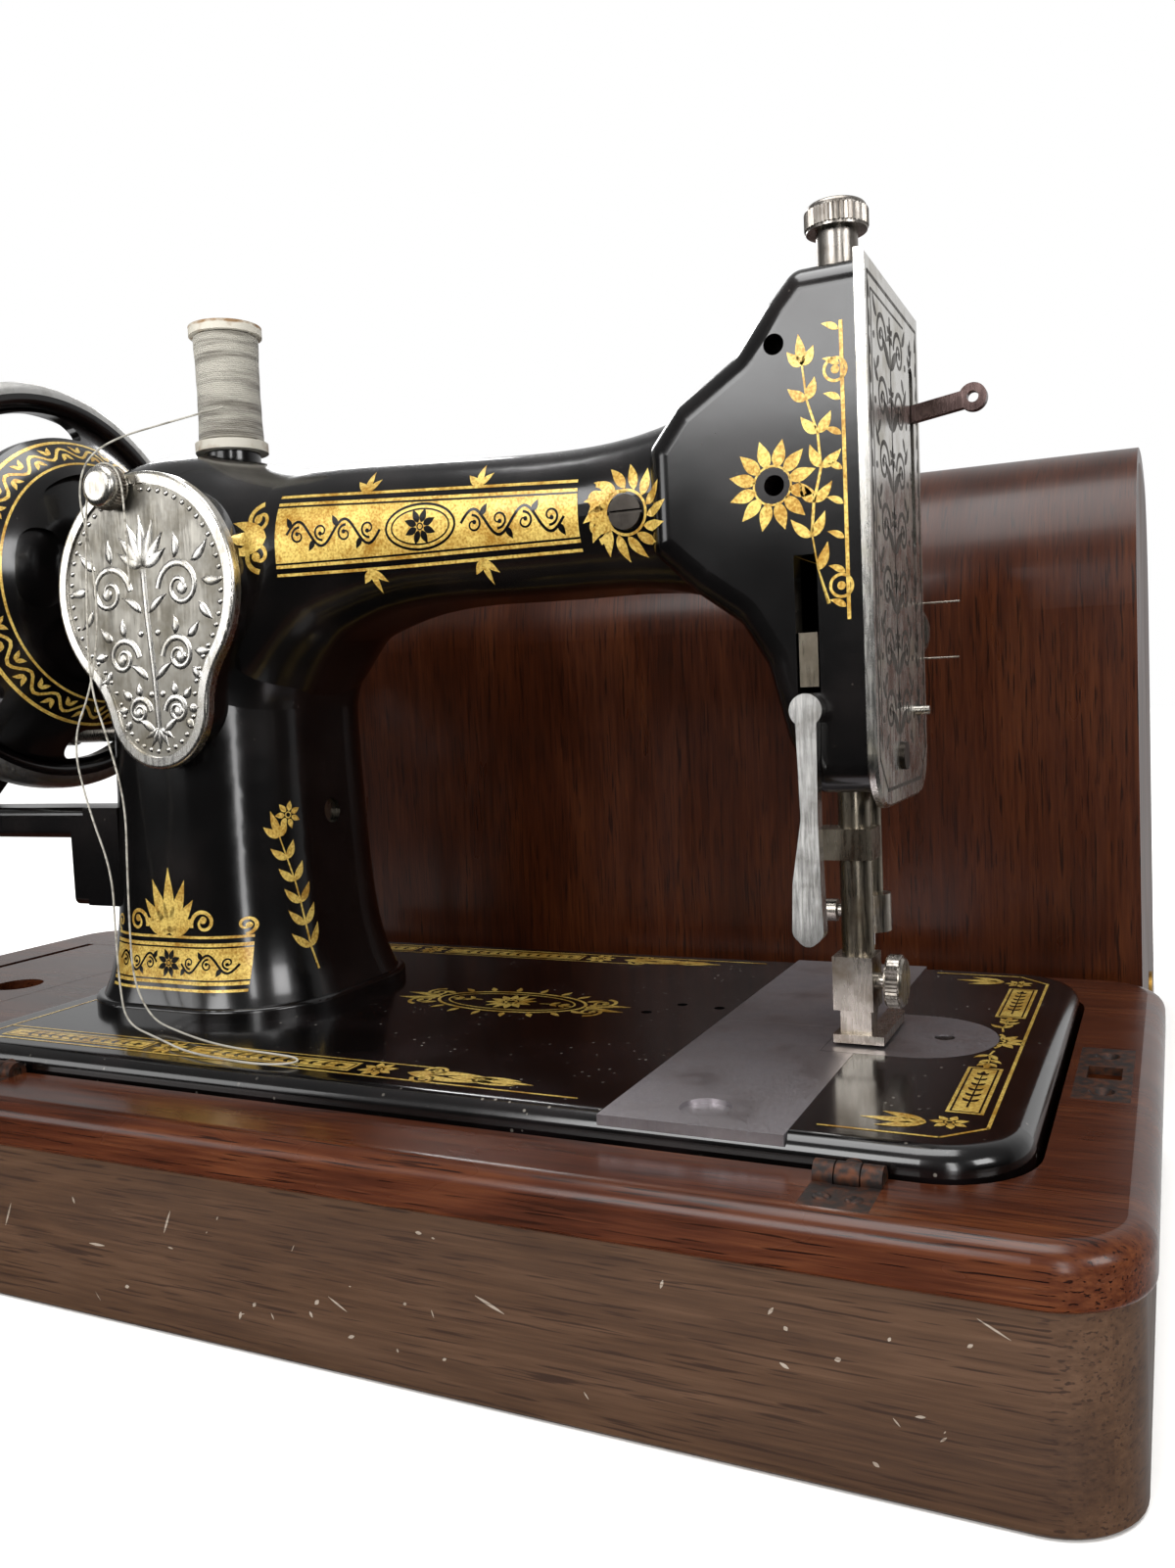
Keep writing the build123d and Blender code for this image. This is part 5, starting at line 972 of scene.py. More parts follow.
@dataclass
class Case:
    """The wooden base, its fittings and the bentwood lid."""

    finishes: Finishes
    wood_top: float = 54.0
    hinge_xs: Point = (-69.5, 172.5)
    strap_screw_y: float = -96.5
    strap_screw_spread: float = 3.2
    screw_radius: float = 1.9
    screw_height: float = 0.55
    screw_round: float = 0.94
    slot_half: float = 0.32
    slot_depth: float = 0.35
    wall_low: float = 7.0
    wall_rise: float = 32.0
    scuff_seed: int = 11
    scuff_bias: float = 1.6
    short_share: float = 0.75
    short_scuff: Point = (0.6, 2.2)
    long_scuff: Point = (3.0, 8.0)
    scuff_width: Point = (0.2, 0.9)

    def dress(self) -> None:
        """Paint the wood and iron, set the small screws and score the walls."""
        paint = self.finishes.paint
        paint("frame_wood", "base_top_frame", "accessory_lid")
        paint("wall_wood", "base_walls", "base_floor")
        paint("plain_wood", "base_inner_blocks")
        paint("lid_wood", "lid_shell")
        paint("lid_end_wood", "lid_end_boards")
        paint("iron", "bed_hinge_straps", "bed_hinge_knuckles", "lock_strike_plate")
        paint("iron", "lid_handle_brackets", "lid_handle", "lid_lock_case")
        paint("bronzed", "bed_hinge_pins", "accessory_lid_pins", "lid_lock_bolt")
        paint("brass", "lid_escutcheon")
        for number, x in enumerate(self.hinge_xs):
            for side in (-1, 1):
                place = (x + side * self.strap_screw_spread, self.strap_screw_y, self.wood_top)
                self.screw(f"strap_screw_{number}_{side + 1}", place, 20 + 50 * number * side)
        self.scuffs()

    def scuffs(self) -> None:
        """Score short pale scratches into the walls' varnish, most of them near the lower edge."""
        chance = random.Random(self.scuff_seed)
        near = Ground("base_walls", (0, -160, 0), (1, 0, 0), (0, 0, 1), (0, 1, 0))
        end = Ground("base_walls", (290, 0, 0), (0, 1, 0), (0, 0, 1), (-1, 0, 0))
        for name, ground, half, count in (("near", near, 200.0, 60), ("end", end, 88.0, 18)):
            marks = Tracery()
            for _ in range(count):
                across = chance.uniform(-half, half)
                start = (across, self.wall_low + self.wall_rise * chance.random() ** self.scuff_bias)
                lengths = self.short_scuff if chance.random() < self.short_share else self.long_scuff
                length = chance.uniform(*lengths)
                stop = polar(start, length, math.radians(chance.uniform(-75, 75)))
                width = chance.uniform(*self.scuff_width)
                marks.ribbon(between(start, stop, 5), width, lambda t: 0.15 + math.sin(math.pi * t))
            marks.lay(f"wall_scuffs_{name}", ground, self.finishes.of("bare_wood"), Body.BASE, lift=0.04)

    def screw(self, name: str, place: Place, turn: float) -> None:
        """Set a small round-headed screw with a slot.

        Args:
            name: The piece's name.
            place: The middle of its seat.
            turn: The slot's angle in degrees.
        """
        sides, rings = 20, 4
        points: list[Vector] = []
        for ring in range(rings + 1):
            rise = ring / rings * math.pi / 2
            radius = self.screw_radius * math.cos(rise * self.screw_round)
            height = self.screw_height * math.sin(rise)
            for i in range(sides):
                angle = 2 * math.pi * i / sides
                across = abs(radius * math.sin(angle - math.radians(turn)))
                dip = self.slot_depth if across < self.slot_half and ring > 0 else 0.0
                spot = Vector((*polar((0.0, 0.0), radius, angle), height - dip))
                points.append((Vector(place) + spot) * MM)
        top = [rings * sides + i for i in range(sides)]
        faces = [*tube_faces(rings + 1, sides), top]
        make_piece(name, points, faces, self.finishes.of("iron"), Body.BASE)


@dataclass
class CastHead:
    """The cast bed and arm, with their japan and gold transfers."""

    finishes: Finishes
    bed_top: float = 60.0
    pillar_x: float = -50.0
    look_from: float = 90.0
    arm_line_lift: float = 0.14
    bed_line_lift: float = 0.13
    border_left: float = -92.0
    border_outer: float = 74.0
    border_inner: float = 63.0
    border_end: float = 196.5
    border_corner: Point = (188.0, 66.0)
    band: Point = (-4.0, 92.0)
    band_level: Point = (203.4, 200.0)
    band_half: Point = (9.6, 7.0)
    band_screw: Point = (105.6, 199.3)
    star: Point = (145.6, 201.0)
    foot: Point = (70.5, 83.0)
    medallion: Point = (46.0, 4.0)

    def dress(self) -> None:
        """Paint the castings and lay their ornament."""
        self.finishes.paint("japan", "arm", "crank_bracket")
        self.finishes.paint("bed_japan", "bed")
        self.arm_band()
        self.head_spray()
        self.pillar_foot()
        self.pillar_side()
        self.bed_borders()
        self.bed_medallion()

    def near_side(self) -> Ground:
        """Give the arm's near side as a ground in x and z."""
        return Ground("arm", (0, -self.look_from, 0), (1, 0, 0), (0, 0, 1), (0, 1, 0))

    def bed_ground(self) -> Ground:
        """Give the bed's top as a ground in x and y."""
        return Ground("bed", (0, 0, self.bed_top + 20), (1, 0, 0), (0, 1, 0), (0, 0, -1))

    def lay(self, name: str, ground: Ground, gold: Tracery, line: Tracery | None = None) -> None:
        """Lay gold on a ground, and dark lines over it where there are any.

        Args:
            name: What the pieces' names begin with.
            ground: The surface that carries them.
            gold: The gold strips.
            line: The dark strips.
        """
        gold.lay(f"{name}_gold", ground, self.finishes.of("gold"), Body.MACHINE)
        if line:
            lift = self.bed_line_lift if ground.node == "bed" else self.arm_line_lift
            line.lay(f"{name}_lines", ground, self.finishes.of("japan"), Body.MACHINE, lift)

    def arm_band(self) -> None:
        """Lay the long panel on the arm, with a wave scroll, an oval and a leaf ring at its end."""
        gold, line = Tracery(), Tracery()
        start, end = self.band

        def share(x: float, ends: Point) -> float:
            """Give the value at x of what runs evenly from one end of the band to the other."""
            return ends[0] + (ends[1] - ends[0]) * (x - start) / (end - start)

        def middle(x: float) -> float:
            """Give the band's middle level at x."""
            return share(x, self.band_level)

        def half(x: float) -> float:
            """Give the band's half height at x."""
            return share(x, self.band_half)

        def edge(x: float, side: int, gap: float = 0.0) -> Point:
            """Give the place at x that is a gap outside the band's upper or lower edge."""
            return (x, middle(x) + side * (half(x) + gap))

        xs = [start + (end - start) * i / 48 for i in range(49)]
        gold.panel([edge(x, -1) for x in xs], [edge(x, 1) for x in xs], 10)
        for side in (-1, 1):
            gold.ribbon([edge(x, side, 1.9) for x in xs], 0.8)
            line.ribbon([edge(x, side, -1.2) for x in xs], 0.55)
        for x, side, out in ((start, -1, 180), (end, 1, 0)):
            root, reach = (x + side * 3.0, middle(x)), half(x)
            for lean in (-1, 1):
                eye = (x + side * 5.5, middle(x) + lean * reach * 0.55)
                gold.scroll(eye, 90 * lean, reach * 0.5, 1.0, -side * lean * 1.2, 1.6)
                gold.leaf(root, out + side * lean * 34, 13, 3.6, -side * lean * 22)
            gold.leaf(root, out, 15, 4.2)
        for x in (26.0, 62.0):
            for side in (-1, 1):
                gold.fan(edge(x, side, 2.2), 90 * side, ((-48, 5.0), (0, 6.2), (48, 5.0)), 2.0)
        gold.petals(self.band_screw, 13.0, 14, 2.7, 6.0, 28.0, 20.0)
        gold.ring(self.band_screw, 5.6, 0.7)
        centre = (start + end) / 2
        oval = (centre, middle(centre))
        line.ring(oval, 11.0, 0.7, 0.56)
        line.ring(oval, 9.2, 0.45, 0.52)
        line.rosette(oval, 5.2, 8, 2.0, 1.2)
        for near, far in ((centre - 13.0, start + 4.0), (centre + 13.0, end - 4.0)):
            line.wave((near, middle(near)), (far, middle(far)), 3.6, 4, 0.8)
        self.lay("arm_band", self.near_side(), gold, line)

    def head_spray(self) -> None:
        """Lay the upright leaf spray and its star on the head."""
        gold = Tracery()
        stem = (158.5, 156.0, 154.8, 155.6, 157.6, 157.0, 154.6, 153.8)
        gold.spray([(x, 172.0 + 8.0 * i) for i, x in enumerate(stem)], 7.4, 2.5, 0.9)
        gold.petals(self.star, 11.0, 12, 3.2, 4.2)
        gold.ring(self.star, 4.6, 0.5)
        for level in (176.0, 226.0):
            gold.ring((161.6, level), 2.6, 0.7)
            gold.disc((161.6, level), 1.0)
        gold.ribbon([(163.2, z) for z in range(168, 238, 3)], 0.9)
        for z in range(171, 236, 8):
            gold.leaf((162.6, z), 140, 4.4, 1.6, 30)
        self.lay("head_spray", self.near_side(), gold)

    def pillar_foot(self) -> None:
        """Lay the band round the pillar's foot, with a fan of leaves over it."""
        gold, line = Tracery(), Tracery()
        left, right = self.pillar_x - 24.0, self.pillar_x + 28.0
        low, high = self.foot
        middle = (low + high) / 2

        def level(z: float) -> list[Point]:
            """Give the line across the foot at a level."""
            return between((left, z), (right, z), 30)

        gold.panel(level(low), level(high), 6)
        for z in (high + 1.8, low - 1.6):
            gold.ribbon(level(z), 0.8)
        x = self.pillar_x + 1.0
        leaves = ((0, 20.0), (-26, 17.5), (26, 17.5), (-52, 14.0), (52, 14.0), (-78, 11.0), (78, 11.0))
        gold.fan((x, high + 3.0), 90, leaves, 4.4, 0.35)
        for side, start, end in ((-1, -20, left + 2.0), (1, 200, right - 2.0)):
            gold.scroll((x + side * 13.0, high + 6.2), start, 4.4, 0.9, -side * 1.3, 1.3)
            gold.scroll((end, high + 5.4), 270, 3.0, 0.7, side * 1.2, 1.0)
        for z in (low + 1.3, high - 1.3):
            line.ribbon(level(z), 0.5)
        for start, end in ((left + 3, self.pillar_x - 4), (right - 3, self.pillar_x + 6)):
            line.wave((start, middle), (end, middle), 2.7, 3, 0.7)
        line.rosette((x, middle), 4.6, 8, 1.8, 1.1)
        self.lay("pillar_foot", self.near_side(), gold, line)

    def pillar_side(self) -> None:
        """Lay a tall leaf spray on the pillar's side towards the needle."""
        angle = math.radians(62)
        out = (math.sin(angle), -math.cos(angle))
        start = (self.pillar_x + self.look_from * out[0], self.look_from * out[1], 0)
        across, look = (math.cos(angle), math.sin(angle), 0), (-out[0], -out[1], 0)
        gold = Tracery()
        stem = (4.0, 2.4, 1.4, 0.4, -1.0, -3.0, -5.0)
        gold.spray([(u, 72.0 + 7.0 * i) for i, u in enumerate(stem)], 8.4, 2.5, 0.8)
        gold.rosette((-1.6, 120.5), 4.4, 7, 1.8, 1.2)
        self.lay("pillar_side", Ground("arm", start, across, (0, 0, 1), look), gold)

    def bed_borders(self) -> None:
        """Lay the lined borders along the bed's edges."""
        gold, line = Tracery(), Tracery()
        left = self.border_left
        for side in (-1, 1):
            outer, inner = side * self.border_outer, side * self.border_inner
            low, high = sorted((outer - side * 2.0, inner + side * 2.0))
            middle = (low + high) / 2
            gold.path([(left, outer), (106, outer)], 0.8)
            gold.path([(left, inner), (60, inner)], 0.6)
            for start, end in ((-86, -30), (-16, 40)):
                lower, upper = (between((start, level), (end, level), 20) for level in (low, high))
                gold.panel(lower, upper, 2)
                line.box((start + 1, low + 1), (end - 1, high - 1), 0.45)
                line.spray(between((start + 4, middle), (end - 6, middle), 11), 3.1, 1.2, 0.5)
            for x in (-23.0, 47.0):
                gold.rosette((x, middle), 5.4, 8, 2.2, 1.5)
            for lean in (-1, 1):
                gold.scroll((63.0, middle + lean * 3.0), 180, 3.6, 0.8, -lean * 1.2, 1.2)
                gold.leaf((56.0, middle), lean * 18, 22, 3.2, -lean * 24)
            gold.leaf((68.0, middle), 0, 24, 4.0)
            for lean in (1, -1):
                gold.leaf((74.0, middle), lean * 22, 14, 2.6, -lean * 30)
        gold.path([(left, -self.border_outer), (left, self.border_outer)], 0.8)
        self.right_border(gold, line)
        self.lay("bed_border", self.bed_ground(), gold, line)

    def right_border(self, gold: Tracery, line: Tracery) -> None:
        """Add the border at the bed's needle end.

        Args:
            gold: The gold strips to add to.
            line: The dark strips to add to.
        """
        end_x, side_y = self.border_end, self.border_outer
        x, y = self.border_corner
        low, middle, high = end_x - 10.0, end_x - 6.0, end_x - 2.0
        gold.path([(163, -side_y), (x, -side_y), (end_x, -y), (end_x, y), (x, side_y), (163, side_y)], 0.8)
        for start, end in ((-58, -24), (24, 58)):
            lower, upper = (between((level, start), (level, end), 14) for level in (low, high))
            gold.panel(lower, upper, 2)
            line.box((low + 1, start + 1), (high - 1, end - 1), 0.45)
            line.spray(between((middle, start + 4), (middle, end - 6), 6), 3.1, 1.2, 0.5)
        gold.rosette((middle, 0), 7.0, 10, 2.4, 2.0)
        for side in (-1, 1):
            stem = [(middle, side * 9), (middle - 0.6, side * 13), (middle, side * 17), (middle, side * 20)]
            gold.spray(stem, 5.0, 1.7, 0.6)
            gold.fan((184.0, side * y), 180, ((-34, 11), (0, 14), (34, 11)), 3.2, 0.6)
            gold.rosette((188.5, side * 64.5), 4.2, 7, 1.8, 1.2)

    def bed_medallion(self) -> None:
        """Lay the oval medallion in the middle of the bed."""
        gold = Tracery()
        x, y = self.medallion
        gold.ring((x, y), 25.0, 1.0, 0.46)
        gold.ring((x, y), 21.5, 0.6, 0.42)
        gold.rosette((x, y), 8.2, 12, 2.4, 2.4)
        for side, out in ((-1, 180), (1, 0)):
            gold.spray([(x + side * 10, y), (x + side * 13.5, y + 0.4), (x + side * 17, y)], 4.0, 1.6, 0.6)
            for lean in (-1, 1):
                eye = (x + side * 29, y + lean * 5.2)
                gold.scroll(eye, 90 * lean, 4.6, 1.0, -side * lean * 1.3, 1.3)
                gold.leaf((x + side * 25.5, y), out + side * lean * 26, 14, 3.0, -side * lean * 28)
        for i in range(20):
            angle = 2 * math.pi * (i + 0.5) / 20
            root = (x + 26.2 * math.cos(angle), y + 26.2 * 0.47 * math.sin(angle))
            gold.leaf(root, math.degrees(angle), 5.0, 1.9, 16)
        self.lay("bed_medallion", self.bed_ground(), gold)


@dataclass
class Plates:
    """The bright plates on the bed and arm, with their raised and etched leaf work."""

    finishes: Finishes
    cover_upper: Point = (-45.5, 190.5)
    cover_lower: Point = (-43.0, 156.2)
    cover_upper_radius: float = 34.8
    cover_lower_radius: float = 19.5
    cover_hollow: float = 28.0
    cover_rim: float = 3.5
    bead_spacing: float = 2.9
    face_low: float = 122.0
    face_high: float = 252.8
    face_half: float = 33.0
    face_stem: float = -5.0

    def dress(self) -> None:
        """Paint the plates and lay their ornament."""
        self.finishes.paint("slide_plate", "near_slide_plate", "far_slide_plate", "needle_plate")
        self.finishes.paint("nickel", "face_plate", "rear_cover", "cover_thumb_screw")
        self.cover_relief()
        self.face_etching()

    def cover_sides(self, inset: float) -> tuple[list[Point], list[Point]]:
        """Give the cover's two side lines from top to bottom, drawn in by an inset.

        Args:
            inset: The distance from the cover's edge.

        Returns:
            The left and the right line.
        """
        (x1, z1), (x2, z2) = self.cover_upper, self.cover_lower
        high, low = self.cover_upper_radius - inset, self.cover_lower_radius - inset
        hollow = self.cover_hollow + inset
        apart = math.dist(self.cover_upper, self.cover_lower)
        along = ((high + hollow) ** 2 - (low + hollow) ** 2 + apart**2) / (2 * apart)
        aside = math.sqrt((high + hollow) ** 2 - along**2)
        first = math.acos(-along / (high + hollow))
        second = math.acos((apart - along) / (low + hollow))
        steps = [i / 20 for i in range(21)]
        upper = [(-high * math.cos(first * t), high * math.sin(first * t)) for t in steps]
        turns = [first + (second - first) * t for t in steps]
        flank = [(along + hollow * math.cos(t), aside - hollow * math.sin(t)) for t in turns]
        rest = [second + (math.pi - second) * t for t in steps]
        lower = [(apart - low * math.cos(t), low * math.sin(t)) for t in rest]
        outline = upper + flank[1:] + lower[1:]
        dx, dz = (x2 - x1) / apart, (z2 - z1) / apart
        left, right = (
            [(x1 + dx * d - side * dz * w, z1 + dz * d + side * dx * w) for d, w in outline]
            for side in (-1, 1)
        )
        return left, right

    def cover_relief(self) -> None:
        """Raise paired scrolls, a fan of leaves and a row of beads from the rear cover's field."""
        ground = Ground("rear_cover", (0, -90, 0), (1, 0, 0), (0, 0, 1), (0, 1, 0))
        left, right = self.cover_sides(self.cover_rim + 0.3)
        sunk, relief = Tracery(), Tracery()
        sunk.panel(right, left, 24)
        sunk.lay("rear_cover_field", ground, self.finishes.of("sunk_nickel"), Body.COVER, lift=0.03)
        for line in self.cover_sides(self.cover_rim + 1.9):
            travel = 0.0
            for before, after in zip(line, line[1:]):
                travel += math.dist(before, after)
                if travel >= self.bead_spacing:
                    relief.disc(after, 0.85, sides=8)
                    travel = 0.0
        (x1, z1), (x2, z2) = self.cover_upper, self.cover_lower
        relief.ribbon([(x2, z2 - 9.0), (x2 - 0.5, z2 + 8), (x1 + 0.6, z1 - 8), (x1, z1 + 6.0)], 2.2)
        leaves = ((0, 15.0), (-24, 14.0), (24, 14.0), (-50, 12.5), (50, 12.5), (-76, 10.5), (76, 10.5))
        relief.fan((x1, z1 + 7.0), 90, leaves, 3.8, 0.3)
        curls = ((x1, z1, 14.0, 8.6), (x1 + 1.0, z1 - 20.0, 11.0, 6.4), (x2, z2 - 2.0, 7.4, 4.6))
        for x, z, reach, size in curls:
            for side in (-1, 1):
                eye = (x + side * reach, z)
                relief.scroll(eye, 180 if side > 0 else 0, size, 1.0, -side * 1.6, 2.3)
                for lean, length in ((100, 7.0), (55, 8.0), (10, 8.0), (-35, 7.0)):
                    angle = lean if side > 0 else 180 - lean
                    root = polar(eye, size, math.radians(angle))
                    relief.leaf(root, angle - side * 30, length * size / 8, 2.9, side * 34)
                relief.leaf((x + side * 1.5, z - 7.0), 90 - side * 40, 9.0, 2.6, -side * 30)
                relief.disc((x + side * reach * 0.3, z + size * 1.1), 1.1)
        relief.fan((x2, z2 - 7.0), 270, [(lean, 6.5) for lean in range(-60, 61, 30)], 2.3)
        nickel = self.finishes.of("nickel")
        relief.lay("rear_cover_relief", ground, nickel, Body.COVER, lift=0.06, crown=0.4)

    def face_etching(self) -> None:
        """Etch a lined frame and a stack of mirrored scrolls on the face plate."""
        ground = Ground("face_plate", (230, 0, 0), (0, 1, 0), (0, 0, 1), (-1, 0, 0))
        etch = Tracery()
        low, high, half = self.face_low + 4.5, self.face_high - 4.5, self.face_half - 3.5
        inset, stem = 3.2, self.face_stem
        foot = [(-half, low + 8), (-half + 8, low), (half - 8, low), (half, low + 8)]
        etch.path([*foot, (half, high), (-half, high), (-half, low + 8)], 0.9)
        etch.path([(-half + inset, low + 10), (-half + inset, high - inset), (12.0, high - inset)], 0.6)
        for i in range(17):
            z = low + 12 + (high - low - 18) * i / 16
            for side in (-1, 1):
                etch.leaf((side * (half - 1.7), z), 90 - side * 30, 4.4, 1.5, side * 40)
        etch.path([(stem, low + 6), (stem, high - 5)], 0.9)
        for i in range(7):
            z = low + 16 + 15.2 * i
            for side in (-1, 1):
                y, level = stem + side * 10.5, z + 3.0
                etch.scroll((y, level), 180 if side > 0 else 0, 6.2, 1.0, -side * 1.5, 1.3)
                etch.leaf((stem + side * 1.0, z - 3.0), 90 - side * 40, 11, 3.0, -side * 30)
                etch.leaf((y + side * 4.6, level + 3.4), 90 - side * 60, 6.4, 2.0, side * 40)
                etch.leaf((y + side * 3.0, level - 5.4), 270 + side * 40, 5.0, 1.8)
                etch.disc((y + side * 8.2, level - 1.6), 0.9)
            etch.rosette((stem, z + 5.4), 3.6, 6, 1.5, 0.9)
            etch.spray([(20.0, z - 5.0), (20.6, z - 1.0), (20.0, z + 3.0), (20.6, z + 6.0)], 4.8, 1.8, 0.7)
        etch.lay("face_plate_etching", ground, self.finishes.of("etched"), Body.MACHINE, lift=0.05)


@dataclass
class Knurl:
    """A band of fine ridges round a knob.

    The fields are a point on the axis, the axis, the band's two ends along it, its radius, the
    ridges' height and how many there are.
    """

    name: str
    middle: Place
    axis: Place
    start: float
    end: float
    radius: float
    height: float
    ridges: int
    body: Body

    def build(self, material: bpy.types.Material) -> None:
        """Make the band as one mesh with rounded ends.

        Args:
            material: The knob's material.
        """
        axis = Vector(self.axis).normalized()
        side = axis.orthogonal().normalized()
        other = axis.cross(side)
        levels = [(0.0, -0.25), (0.08, 1.0), (0.92, 1.0), (1.0, -0.25)]
        points: list[Vector] = []
        count = 2 * self.ridges
        for share, lift in levels:
            along = self.start + (self.end - self.start) * share
            for i in range(count):
                angle = 2 * math.pi * i / count
                radius = self.radius + self.height * (lift if i % 2 == 0 else min(lift, 0.05))
                turn = side * math.cos(angle) + other * math.sin(angle)
                points.append((Vector(self.middle) + axis * along + turn * radius) * MM)
        make_piece(self.name, points, tube_faces(len(levels), count), material, self.body, smooth=False)


@dataclass
class Works:
    """The wheel, crank, needle and presser parts, with the knurled knobs."""

    finishes: Finishes
    shaft_z: float = 200.0
    ring_radius: float = 45.4
    ring_waves: int = 22
    rim_x: float = -132.5
    rim_radius: float = 71.4
    rim_half: float = 6.5
    rim_round: float = 4.3
    plating: float = 0.06
    knurls: tuple[Knurl, ...] = (
        Knurl("adjuster_knurl", (157, -8, 0), (0, 0, 1), 266.0, 270.9, 7.6, 0.4, 46, Body.ADJUSTER),
        Knurl("foot_screw_knurl", (0, -8, 76), (1, 0, 0), 164.8, 168.2, 6.5, 0.4, 40, Body.PRESSER),
        Knurl("tension_knurl", (158, 0, 167), (0, 1, 0), 53.0, 58.6, 6.0, 0.35, 36, Body.TENSION),
        Knurl("cover_screw_knurl", (-54, 0, 221), (0, -1, 0), 45.4, 49.0, 6.2, 0.4, 40, Body.COVER_SCREW),
    )

    def dress(self) -> None:
        """Paint the working parts and add their knurls and the wheel's gold."""
        paint = self.finishes.paint
        paint("japan", "handwheel")
        paint("dark_nickel", "clutch_knob", "presser_adjuster", "tension_nut", "tension_discs")
        paint("steel", "arm_shaft", "crank_pinion", "crank_gear", "crank_arm", "needle_clamp")
        paint("steel", "presser_foot", "presser_foot_screw", "presser_spring", "spool_pins")
        paint("steel", "tension_stud", "tension_spring", "check_spring", "shuttle", "bobbin", "feed_bar")
        paint("bronzed", "needle_bar", "presser_bar", "presser_bracket")
        paint("bronzed", "pivot_pins", "rocker_lever", "shuttle_carrier")
        paint("screw_steel", "machine_screws")
        paint("polished", "presser_lifter", "needle")
        paint("lever_steel", "take_up_lever")
        paint("grip_wood", "crank_handle")
        self.wheel_ring()
        self.rim_band()
        for knurl in self.knurls:
            knurl.build(self.finishes.of("dark_nickel"))

    def rim_band(self) -> None:
        """Plate the handwheel's rim, round the outer half of its section."""
        around, steps = 144, 10
        reach = self.rim_round + self.plating
        section: list[Point] = []
        for side in (-1, 1):
            for i in range(steps + 1):
                turn = math.radians(90 * (i / steps if side > 0 else 1 - i / steps))
                across = self.rim_half - self.rim_round + reach * math.sin(turn)
                section.append((side * across, self.rim_radius - self.rim_round + reach * math.cos(turn)))
        points: list[Vector] = []
        for i in range(around):
            angle = 2 * math.pi * i / around
            for x, radius in section:
                spot = (self.rim_x + x, *polar((0.0, self.shaft_z), radius, angle))
                points.append(Vector(spot) * MM)
        faces: Faces = []
        count = len(section)
        for i in range(around):
            near, far = i * count, (i + 1) % around * count
            faces += [[near + j, near + j + 1, far + j + 1, far + j] for j in range(count - 1)]
        make_piece("wheel_rim_plating", points, faces, self.finishes.of("rim_nickel"), Body.WHEEL)

    def wheel_ring(self) -> None:
        """Lay two rings with a leafed vine between them on the wheel's dished side."""
        ground = Ground("handwheel", (-80, 0, self.shaft_z), (0, 1, 0), (0, 0, 1), (-1, 0, 0))
        gold = Tracery()
        centre, middle = (0.0, 0.0), self.ring_radius - 0.3
        gold.ring(centre, self.ring_radius + 3.6, 0.9, sides=120)
        gold.ring(centre, self.ring_radius - 4.2, 0.7, sides=120)
        vine: list[Point] = []
        for i in range(8 * self.ring_waves + 1):
            angle = 2 * math.pi * i / (8 * self.ring_waves)
            vine.append(polar(centre, middle + 1.7 * math.sin(self.ring_waves * angle), angle))
        gold.ribbon(vine, 0.9)
        for i in range(2 * self.ring_waves):
            sign, back = (1, 180) if i % 2 == 0 else (-1, 0)
            angle = 360 * (i + 0.5) / (2 * self.ring_waves)
            root = polar(centre, middle - sign * 0.2, math.radians(angle))
            gold.fan(root, angle + back, ((-44, 3.3), (44, 3.3)), 1.5)
        gold.lay("wheel_ring_gold", ground, self.finishes.of("gold"), Body.WHEEL)


